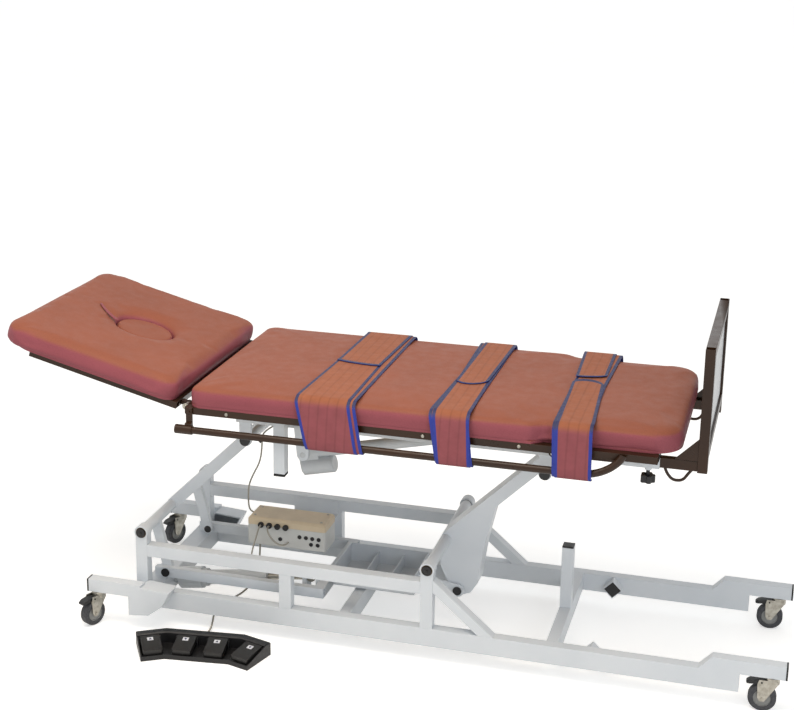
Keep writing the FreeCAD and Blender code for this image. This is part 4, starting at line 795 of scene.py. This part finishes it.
class TILTTABLE_OT_cords(bpy.types.Operator):
    """Lays the four cords on the routes of the part's source"""

    bl_idname = "tilttable.cords"
    bl_label = "Cords"

    def execute(self, context):
        self.cord("switch_cord_laid", SWITCH_CORD, 0.006, "switch_cord", "loose")
        self.cord("actuator_cable_laid", ACTUATOR_CABLE, 0.005, "actuator_cables", "hanging")
        self.cord("loop_cable_laid", LOOP_CABLE, 0.005, "actuator_cables", "hanging")
        self.moving_cord("tilt_cable_lower", TILT_CABLE_LOWER, ("base", "head_crank"))
        self.moving_cord("tilt_cable_upper", TILT_CABLE_UPPER, ("head_crank", "carriage"))
        self.cable_clip()
        return {"FINISHED"}

    def route_curve(self, name, route, diameter):
        """Smooth spline with the route's points as its control points."""
        curve = bpy.data.curves.new(name, "CURVE")
        curve.dimensions = "3D"
        curve.resolution_u = 8
        curve.bevel_depth = diameter / 2
        curve.bevel_resolution = 4
        curve.use_fill_caps = True
        spline = curve.splines.new("NURBS")
        spline.points.add(len(route) - 1)
        for point, place in zip(spline.points, route):
            point.co = (*(value * MM for value in place), 1.0)
        spline.order_u = 3
        spline.use_endpoint_u = True
        curve.materials.append(finish("cable_grey_sheath"))
        return curve

    def centreline(self, name, route):
        """Points of the spline itself, read from it as a curve with no thickness."""
        holder = new_object(name, self.route_curve(name, route, 0.0))
        line = evaluated_mesh(holder)
        points = vertex_array(line)
        bpy.data.objects.remove(holder)
        return points

    def length_of(self, points):
        return float(np.linalg.norm(np.diff(points, axis=0), axis=1).sum())

    def cord(self, name, route, diameter, node, lay):
        length = self.length_of(self.centreline(name + "_line", route))
        piece = new_object(name, self.route_curve(name, route, diameter))
        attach(piece, "base")
        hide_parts(node)

    def moving_cord(self, name, route, bodies):
        """Cable on its route between two bodies that one joint joins, as a mesh tube on its spline, fixed
        where it lies.
        """
        line = self.centreline(name + "_line", route)
        holder = new_object(name + "_curve", self.route_curve(name, route, 0.005))
        mesh = evaluated_mesh(holder)
        bpy.data.objects.remove(holder)
        mesh.materials.clear()
        piece = placed(name, mesh, None, "cable_grey", finish("cable_grey_sheath"))
        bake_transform(piece)
        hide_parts("tilt_cable")

    def cable_clip(self):
        """Saddle clip that holds the tilt cable beside the lift arm."""
        width, wall, radius = 0.010, 0.0014, 0.0026
        centre = Vector([value * MM for value in TILT_CABLE_LOWER[-1]])
        turns = [math.pi * 2 * step / 20 for step in range(20)]
        rings = []
        for height, reach in ((-width / 2, radius), (-width / 2, radius + wall), (width / 2, radius + wall),
                              (width / 2, radius)):
            rings.append([centre + Vector((reach * math.cos(turn), reach * math.sin(turn), height))
                          for turn in turns])
        points, faces = ring_loft(rings + rings[:1])
        # Neck behind the ring, plate up to the arm's side and pad against the arm, each as its
        # reach across the arm (low, high) and its y (near, far)
        across, along, half = Vector((-0.700, 0.0, 0.714)), Vector((0.714, 0.0, 0.700)), 0.004
        for low, high, near, far in ((-0.004, 0.004, 0.0412, 0.0546), (-0.004, 0.024, 0.0412, 0.0430),
                                     (0.014, 0.024, 0.0379, 0.0416)):
            base = len(points)
            for reach in (low, high):
                for y in (near, far):
                    for shift in (-half, half):
                        point = centre + across * reach + along * shift
                        points.append(Vector((point.x, y, point.z)))
            box = ((0, 1, 3, 2), (4, 6, 7, 5), (0, 4, 5, 1), (2, 3, 7, 6), (0, 2, 6, 4), (1, 5, 7, 3))
            faces += [tuple(base + index for index in face) for face in box]
        clip = placed("tilt_cable_clip", mesh_of("tilt_cable_clip", points, faces), "head_crank",
                      "black_plastic", finish("black_polyamide"), smooth=False)
        softened(clip, 0.0004)


class TILTTABLE_OT_cushions(bpy.types.Operator):
    """Makes the body cushion, the head cushion and its face plug as padded covers"""

    bl_idname = "tilttable.cushions"
    bl_label = "Cushions"

    cover_bottom = 0.7106
    top = 0.7695
    half_width = 0.3370
    tuck = 0.004
    crown_band = 0.004

    # The face plug's oval, and the places on the body cushion that the straps press
    plug_half = (0.0875, 0.0725)
    pressed_places = ((0.502, 0.673), (0.879, 0.990), (1.191, 1.312))

    def execute(self, context):
        settings = context.scene.tilttable_cushions
        self.body_cushion(settings)
        self.head_cushion(settings)
        self.face_plug(settings)
        self.pull_tab()
        return {"FINISHED"}

    def swollen(self, mesh, settings):
        """Even mesh of the solid, swollen by the cloth simulation."""
        mesh = remeshed(mesh, settings.voxel, 3)
        return inflated(mesh, settings.pressure, self.cover_bottom, settings.swell)

    def cover(self, name, mesh, body, node, fill):
        piece = placed(name, mesh, body, "upholstery", finish("coated_vinyl"))
        subdivided(piece)
        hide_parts(node)

    def body_cushion(self, settings):
        outline = cushion_outline(0.1795, 1.5395, self.half_width, 0.042, 0.085, 1.150, 0.025)
        profile = rolled_edge(self.cover_bottom, self.top, settings.roll, self.tuck)
        mesh = self.swollen(cushion_block("body_cushion_soft", outline, profile), settings)
        points = vertex_array(mesh)
        ramp, press = 0.012, 0.0020
        up = points[:, 2] > self.top - self.crown_band
        for start, end in self.pressed_places:
            across = np.clip((points[:, 0] - start + ramp) / (2 * ramp), 0, 1) * \
                np.clip((end + ramp - points[:, 0]) / (2 * ramp), 0, 1)
            pressed = across * across * (3 - 2 * across)
            points[up, 2] = np.minimum(points[up, 2], SOFT_TOP - press * pressed[up])
        points[:, 2] = np.maximum(points[:, 2], self.cover_bottom)
        set_vertices(mesh, points)
        self.cover("body_cushion_soft", mesh, "table", "body_cushion", 0.85)

    def plug_centre(self):
        """Centre of the face plug's oval on the flat head section."""
        low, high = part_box("face_plug")
        flat = Matrix.Rotation(-HEAD_RAISE, 4, "Y") @ ((low + high) / 2 - HEAD_HINGE) + HEAD_HINGE
        return flat.x, 0.0

    def head_cushion(self, settings):
        outline = cushion_outline(-0.4130, 0.1365, self.half_width, 0.062, 0.042)
        profile = rolled_edge(self.cover_bottom, self.top, settings.roll, self.tuck)
        rim = [(0.001, self.cover_bottom), (0.0015, self.top - 0.022), (0.006, self.top - 0.011),
               (0.014, self.top - 0.003), (0.024, self.top)]
        opening = (self.plug_centre(), *self.plug_half, rim)
        mesh = self.swollen(cushion_block("head_cushion_soft", outline, profile, opening), settings)
        points = vertex_array(mesh)
        self.press_crease(points)
        points[:, 2] = np.clip(points[:, 2], self.cover_bottom, SOFT_TOP + 0.0003)
        set_vertices(mesh, raised_about_hinge(points))
        self.cover("head_cushion_soft", mesh, "head_section", "head_cushion", 0.85)

    def crease_line(self):
        """Ends of the crease from the oval towards the head, on the flat section."""
        x, half_x = self.plug_centre()[0], self.plug_half[0]
        return np.array([x - half_x * 0.86, -0.040]), np.array([x - half_x - 0.088, 0.040])

    def press_crease(self, points):
        """Presses the crease into the top, deepest at the oval."""
        deepest, width = 0.0100, 0.014
        start, end = self.crease_line()
        way = end - start
        share = np.clip(((points[:, :2] - start) @ way) / (way @ way), 0, 1)
        gap = np.linalg.norm(points[:, :2] - (start + share[:, None] * way), axis=1)
        depth = deepest * np.exp(-(gap / width) ** 2) * (1 - share) ** 0.35
        up = points[:, 2] > self.top - self.crown_band
        points[up, 2] -= depth[up]

    def oval(self, inset, share, height, steps=64):
        """A ring of the plug, that far inside its opening and drawn in by a share."""
        x, y = self.plug_centre()
        half_x, half_y = ((half - inset) * share for half in self.plug_half)
        return [(x + half_x * math.cos(turn), y + half_y * math.sin(turn), height)
                for turn in np.linspace(0, 2 * math.pi, steps, endpoint=False)]

    def face_plug(self, settings):
        """Oval pad with a soft upper edge, lying in the recess."""
        bottom, top = 0.7183, 0.774 - settings.recess
        play, edge, crown = 0.0005, 0.010, 0.002
        levels = [(0.0, bottom), (0.0, top - 0.012)]
        for step in range(1, 6):
            turn = math.pi / 2 * step / 5
            levels.append((edge * (1 - math.cos(turn)), top - edge + edge * math.sin(turn)))
        rings = [self.oval(play + inset, 1.0, height) for inset, height in levels]
        for share in (0.85, 0.65, 0.45, 0.25, 0.08):
            rings.append(self.oval(play + edge, share, top + crown * (1 - share * share)))
        points, faces = ring_loft(rings)
        count = len(rings[0])
        faces.append(tuple(range(len(points) - count, len(points))))
        faces.append(tuple(reversed(range(count))))
        mesh = mesh_of("face_plug_soft", raised_about_hinge(points), faces)
        self.cover("face_plug_soft", mesh, "face_plug", "face_plug", 0.8)

    def pull_tab(self):
        """Narrow vinyl tab sewn into the crease, for lifting the plug out."""
        start, end = self.crease_line()
        way = (end - start) / np.linalg.norm(end - start)
        side = np.array([-way[1], way[0]])
        steps, half_width, thickness = 24, 0.0070, 0.0016
        section = ((-1, 0.0), (-1, thickness), (-0.4, thickness + 0.0008), (0.4, thickness + 0.0008),
                   (1, thickness), (1, 0.0))
        count = len(section)
        points, faces = [], []
        for step in range(steps + 1):
            share = step / steps
            arch = math.sin(math.pi * share)
            middle = start + (end - start) * (0.04 + 0.9 * share) + side * 0.006 * arch
            height = 0.7682 + 0.0048 * share + 0.0012 * arch
            narrow = half_width * (1 - 0.45 * share)
            for across, lift in section:
                x, y = middle + side * narrow * across
                points.append((x, y, height + lift))
        for step in range(steps):
            for index in range(count):
                here, beside = step * count + index, step * count + (index + 1) % count
                faces.append((here, beside, beside + count, here + count))
        faces += [tuple(reversed(range(count))), tuple(range(steps * count, (steps + 1) * count))]
        mesh = mesh_of("plug_pull_tab", raised_about_hinge(points), faces)
        subdivided(placed("plug_pull_tab", mesh, "head_section", "upholstery",
                          finish("coated_vinyl_tab")))


class TILTTABLE_OT_straps(bpy.types.Operator):
    """Makes the three straps, each from a layer below and two pieces that meet on top"""

    bl_idname = "tilttable.straps"
    bl_label = "Straps"

    edge_y = 0.300
    rail_z = 0.637
    rise = 0.128
    curl_length = 0.035

    # Side a piece starts from and the layer it lies in: -1 near rail, 1 far rail, 0 rail to rail
    lay = {"near": (-1, 1), "far": (1, 2), "under": (0, 0)}

    # Two edges at the rail, on the cushion's edge and at the end, then the y of the end, the slant
    # of the end, and how far its corners round back
    pieces = {
        "strap_1_near": ((0.540, 0.687), (0.502, 0.658), (0.516, 0.650), 0.040, 0.0, 0.004),
        "strap_1_far": ((0.520, 0.660), (0.520, 0.660), (0.515, 0.650), -0.012, -0.020, 0.012),
        "strap_1_under": ((0.560, 0.703), (0.530, 0.673), (0.530, 0.673), 0.0, 0.0, 0.0),
        "strap_2_near": ((0.905, 0.997), (0.886, 0.987), (0.888, 0.982), -0.040, 0.0, 0.004),
        "strap_2_far": ((0.889, 0.985), (0.889, 0.985), (0.888, 0.977), -0.096, 0.014, 0.040),
        "strap_2_under": ((0.903, 1.004), (0.876, 0.984), (0.886, 0.984), 0.0, 0.0, 0.0),
        "strap_3_near": ((1.220, 1.317), (1.213, 1.312), (1.200, 1.288), 0.058, -0.006, 0.044),
        "strap_3_far": ((1.191, 1.286), (1.191, 1.286), (1.203, 1.289), 0.070, 0.024, 0.012),
        "strap_3_under": ((1.214, 1.311), (1.206, 1.304), (1.204, 1.297), 0.0, 0.0, 0.0),
    }

    def execute(self, context):
        settings = context.scene.tilttable_straps
        for name, measures in self.pieces.items():
            self.piece(settings, name, *self.lay[name.split("_")[2]], *measures)
        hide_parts("straps")
        return {"FINISHED"}

    def side_path(self, layer):
        """(reach from the centre plane, height) from under the accessory rail up onto the cushion."""
        out = 0.0016 * layer
        top = SOFT_TOP + 0.0008 + out
        corners = [(0.3430, 0.6372 - out, 0.0), (0.3592 + out, 0.6372 - out, 0.007),
                   (0.3592 + out, 0.6590, 0.060), (0.3396 + out, 0.7640, 0.030),
                   (0.3220, top, 0.022), (self.edge_y, top, 0.0)]
        return spaced(rounded_path(corners), 0.006)

    def columns(self, width, binding):
        """Shares across the strap, with narrow columns for the binding at both edges."""
        edge = binding / width
        inner = [edge + (1 - 2 * edge) * step / 8 for step in range(9)]
        return [0.0, edge * 0.15, edge * 0.85] + inner + [1 - edge * 0.85, 1 - edge * 0.15, 1.0]

    def piece(self, settings, name, side, layer, rail_x, edge_x, end_x, end_y, skew, depth):
        """One strap piece, from its side and layer and its measures as listed above."""
        shares = self.columns(edge_x[1] - edge_x[0], settings.binding_width)
        path = self.side_path(layer)
        direction = -1 if side <= 0 else 1
        rows = [self.side_row(rail_x, edge_x, shares, direction * reach, height)
                for reach, height in path]
        start = direction * self.edge_y
        steps = 36 if side else 60
        end_rows = []
        for step in range(1, steps + 1):
            row = []
            for share in shares:
                if side:
                    round_off = 1 - math.sqrt(max(0.0, 1 - (2 * share - 1) ** 2 * 0.995))
                    stop = end_y + skew * (share - 0.5) + side * depth * round_off
                else:
                    stop = self.edge_y
                y = start + (stop - start) * step / steps
                if side:
                    blend = min(1.0, abs(y - start) / max(abs(end_y - start), 1e-6))
                else:
                    blend = 1 - abs(2 * step / steps - 1)
                low, high = (edge + (end - edge) * blend for edge, end in zip(edge_x, end_x))
                ripple = 0.0003 * math.sin(y * 60 + layer * 2) * math.sin(share * math.pi)
                curl = 0.0
                if layer == 2:
                    curl = 0.0028 * max(0.0, 1 - abs(y - stop) / self.curl_length) ** 2
                row.append((low + (high - low) * share, y, path[-1][1] + ripple + curl))
            rows.append(row)
            left = (steps - step) * abs(end_y - start) / steps
            if side and left < settings.binding_width * 1.2:
                end_rows.append(len(rows) - 1)
        if not side:
            rows += [self.side_row(edge_x, edge_x, shares, reach, height)
                     for reach, height in path[-2::-1]]
        self.sheet(settings, name, rows, end_rows)

    def side_row(self, rail_x, edge_x, shares, y, height):
        """Points across the strap on the cushion's side, slanting from the rail to the cushion's edge."""
        risen = min(1.0, max(0.0, (height - self.rail_z) / self.rise))
        low, high = (rail + (edge - rail) * risen for rail, edge in zip(rail_x, edge_x))
        return [(low + (high - low) * share, y, height) for share in shares]

    def sheet(self, settings, name, rows, end_rows):
        """The rows as a bound cloth with a thickness. Binding lies on both edges and the end rows."""
        count = len(rows[0])
        points = [point for row in rows for point in row]
        faces, finishes = [], []
        for row in range(len(rows) - 1):
            for column in range(count - 1):
                faces.append((row * count + column, row * count + column + 1,
                              (row + 1) * count + column + 1, (row + 1) * count + column))
                edge = column < 3 or column > count - 5
                finishes.append(int(edge or row + 1 in end_rows))
        strap = placed(name, mesh_of(name, points, faces, finishes), "table", "strap_cloth",
                       finish("laminated_strap_cloth"), finish("ribbed_binding_tape"))
        body = strap.modifiers.new("thickness", "SOLIDIFY")
        body.thickness = settings.thickness
        body.offset = 0.0
        soft = strap.modifiers.new("soft_edges", "BEVEL")
        soft.width = 0.0006
        soft.segments = 2
        soft.limit_method = "ANGLE"
        soft.angle_limit = math.radians(50)


class TILTTABLE_OT_small_parts(bpy.types.Operator):
    """Adds sockets, screws and marks that are too small for the frame"""

    bl_idname = "tilttable.small_parts"
    bl_label = "Small parts"

    def execute(self, context):
        self.box_sockets()
        self.lid_screws()
        self.pedal_marks()
        self.cap_screws()
        self.lever_caps()
        self.stub_plugs()
        return {"FINISHED"}

    def turned(self, centre, axis, profile, steps=28):
        """Points and faces of a profile of (radius, height) pairs turned about an axis."""
        axis = Vector(axis).normalized()
        across = axis.orthogonal().normalized()
        beside = axis.cross(across)
        rings = []
        for radius, height in profile:
            rings.append([Vector(centre) + axis * height +
                          across * radius * math.cos(2 * math.pi * step / steps) +
                          beside * radius * math.sin(2 * math.pi * step / steps) for step in range(steps)])
        points, faces = ring_loft(rings)
        faces.append(tuple(range(len(points) - steps, len(points))))
        faces.append(tuple(reversed(range(steps))))
        return points, faces

    def made_of(self, name, parts, body, slot, material, edge=None):
        """One piece of several parts, its edges softened to that radius, or smooth if none is given."""
        points, faces = [], []
        for part_points, part_faces in parts:
            base = len(points)
            points += part_points
            faces += [tuple(base + index for index in face) for face in part_faces]
        piece = placed(name, mesh_of(name, points, faces), body, slot, finish(material),
                       smooth=edge is None)
        if edge is not None:
            softened(piece, edge)

    def box_sockets(self):
        """Black round sockets in the near face of the control box: a rim with a sunk middle."""
        face_y = -0.0600
        profile = ((0.0062, -0.0005), (0.0062, 0.0016), (0.0054, 0.0022), (0.0044, 0.0018),
                   (0.0040, 0.0004), (0.0012, 0.0004))
        places = ((0.421, 0.236), (0.441, 0.236), (0.461, 0.2355), (0.481, 0.235), (0.457, 0.2165),
                  (0.478, 0.2165), (0.360, 0.222))
        parts = [self.turned((x, face_y, z), (0, -1, 0), profile) for x, z in places]
        self.made_of("box_sockets", parts, "base", "black_plastic", "black_polyamide", 0.0003)

    def lid_screws(self):
        """Four screws in the lid of the control box."""
        lid_top = 0.2832
        profile = ((0.0042, -0.001), (0.0042, 0.0006), (0.0034, 0.0014), (0.0012, 0.0014),
                   (0.0010, 0.0006))
        parts = [self.turned((x, y, lid_top), (0, 0, 1), profile, 20)
                 for x in (0.274, 0.484) for y in (-0.042, 0.022)]
        self.made_of("lid_screws", parts, "base", "zinc", "zinc_plated_steel", 0.0002)

    def pedal_marks(self):
        """Plain up and down arrows printed on small pale plates, one on each pedal."""
        for number in range(4):
            self.mark_on_pedal(number, "switch_pedal_" + str(number + 1))

    def mark_on_pedal(self, number, body):
        """Plate and arrow on the sloping top, laid by the pedal's own large upper face."""
        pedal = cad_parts[body].data
        best = max(pedal.polygons, key=lambda face: face.area if face.normal.z > 0.8 else 0.0)
        normal = best.normal.copy()
        upper = [face for face in pedal.polygons if face.normal.dot(normal) > 0.999]
        corners = np.array([pedal.vertices[index].co[:] for face in upper for index in face.vertices])
        downhill = Vector((normal.x, normal.y, 0.0)).normalized()
        slope = (downhill - normal * downhill.dot(normal)).normalized()
        across = normal.cross(slope).normalized()
        uphill, clearance = 0.020, 0.0002
        centre = Vector(corners.min(0) + corners.max(0)) / 2 - slope * uphill
        centre += normal * ((Vector(corners[0]) - centre).dot(normal) + clearance)
        half_x, half_y = 0.0085, 0.0075
        plate = [(-half_x, -half_y), (half_x, -half_y), (half_x, half_y), (-half_x, half_y)]
        way = 1 if number % 2 else -1
        arrow = [(0.0, 0.0045 * way), (-0.0042, -0.0035 * way), (0.0042, -0.0035 * way)]
        if way < 0:
            arrow.reverse()
        for label, outline, lift, material in (("plate", plate, 0.0004, "white_mark_ink"),
                                               ("arrow", arrow, 0.0007, "ribbed_binding_tape")):
            flat = [centre + across * x + slope * y for x, y in outline]
            count = len(flat)
            shape = flat + [point + normal * lift for point in flat]
            faces = [tuple(range(count, 2 * count)), tuple(reversed(range(count)))]
            faces += [(index, (index + 1) % count, count + (index + 1) % count, count + index)
                      for index in range(count)]
            mesh = mesh_of("pedal_" + label + "_" + str(number + 1), shape, faces)
            placed(mesh.name, mesh, body, "box_plastic", finish(material), smooth=False)

    def cap_screws(self):
        """Hexagon screw heads in the middle of the black pivot caps, on both sides of the frame."""
        profile = ((0.0050, -0.001), (0.0050, 0.0022), (0.0042, 0.0030), (0.0020, 0.0030))
        parts = [self.turned((x, side * 0.270, 0.280), (0, side, 0), profile, 6)
                 for x in (0.0, 0.863) for side in (-1, 1)]
        self.made_of("pivot_cap_screws", parts, "base", "zinc", "black_polyamide", 0.0003)

    def lever_caps(self):
        """Domed black caps on the inner ends of the head crank's lower pins."""
        profile = ((0.0115, -0.001), (0.0115, 0.0016), (0.0100, 0.0030), (0.0060, 0.0040),
                   (0.0020, 0.0043))
        parts = [self.turned((0.040, side * 0.150, 0.125), (0, -side, 0), profile) for side in (-1, 1)]
        self.made_of("lever_pin_caps", parts, "head_crank", "black_plastic", "black_polyamide")

    def stub_plugs(self):
        """Square black plugs in the ends of the two stubs between the foot rails."""
        parts = []
        for side in (-1, 1):
            corners = []
            for half, y in ((0.0178, 0.2060), (0.0178, 0.1994), (0.0164, 0.1986)):
                for index in range(4):
                    angle = index * math.pi / 2
                    corners.append(Vector((1.326 + half * math.sqrt(2) * math.cos(angle), side * y,
                                           0.0755 + half * math.sqrt(2) * math.sin(angle))))
            faces = [(level * 4 + index, level * 4 + (index + 1) % 4, level * 4 + 4 + (index + 1) % 4,
                      level * 4 + 4 + index) for level in range(2) for index in range(4)]
            faces += [(3, 2, 1, 0), (8, 9, 10, 11)]
            parts.append((corners, faces))
        self.made_of("stub_plugs", parts, "base", "black_plastic", "black_polyamide", 0.0006)


class TILTTABLE_PT_panel(bpy.types.Panel):
    """Sidebar panel with the steps and the settings"""

    bl_label = "Tilt table"
    bl_idname = "TILTTABLE_PT_panel"
    bl_space_type = "VIEW_3D"
    bl_region_type = "UI"
    bl_category = "Tilt table"

    def draw(self, context):
        layout = self.layout
        for operator in OPERATORS:
            layout.operator(operator.bl_idname)
        for name, group in SETTINGS.items():
            box = layout.box()
            holder = getattr(context.scene, name)
            for key in group.__annotations__:
                box.prop(holder, key)


OPERATORS = (TILTTABLE_OT_finishes, TILTTABLE_OT_stage, TILTTABLE_OT_cords, TILTTABLE_OT_cushions,
             TILTTABLE_OT_straps, TILTTABLE_OT_small_parts)
SETTINGS = {"tilttable_cushions": CushionSettings, "tilttable_straps": StrapSettings,
            "tilttable_finishes": FinishSettings, "tilttable_stage": StageSettings}


def register():
    for kind in (*SETTINGS.values(), *OPERATORS, TILTTABLE_PT_panel):
        bpy.utils.register_class(kind)
    for name, group in SETTINGS.items():
        setattr(bpy.types.Scene, name, bpy.props.PointerProperty(type=group))


def unregister():
    for name in SETTINGS:
        delattr(bpy.types.Scene, name)
    for kind in (TILTTABLE_PT_panel, *reversed(OPERATORS), *reversed(SETTINGS.values())):
        bpy.utils.unregister_class(kind)


def main():
    register()
    bpy.ops.tilttable.finishes()
    bpy.ops.tilttable.stage()
    bpy.ops.tilttable.cords()
    bpy.ops.tilttable.cushions()
    bpy.ops.tilttable.straps()
    bpy.ops.tilttable.small_parts()
    bpy.context.view_layer.update()


if __name__ == "__main__":
    main()
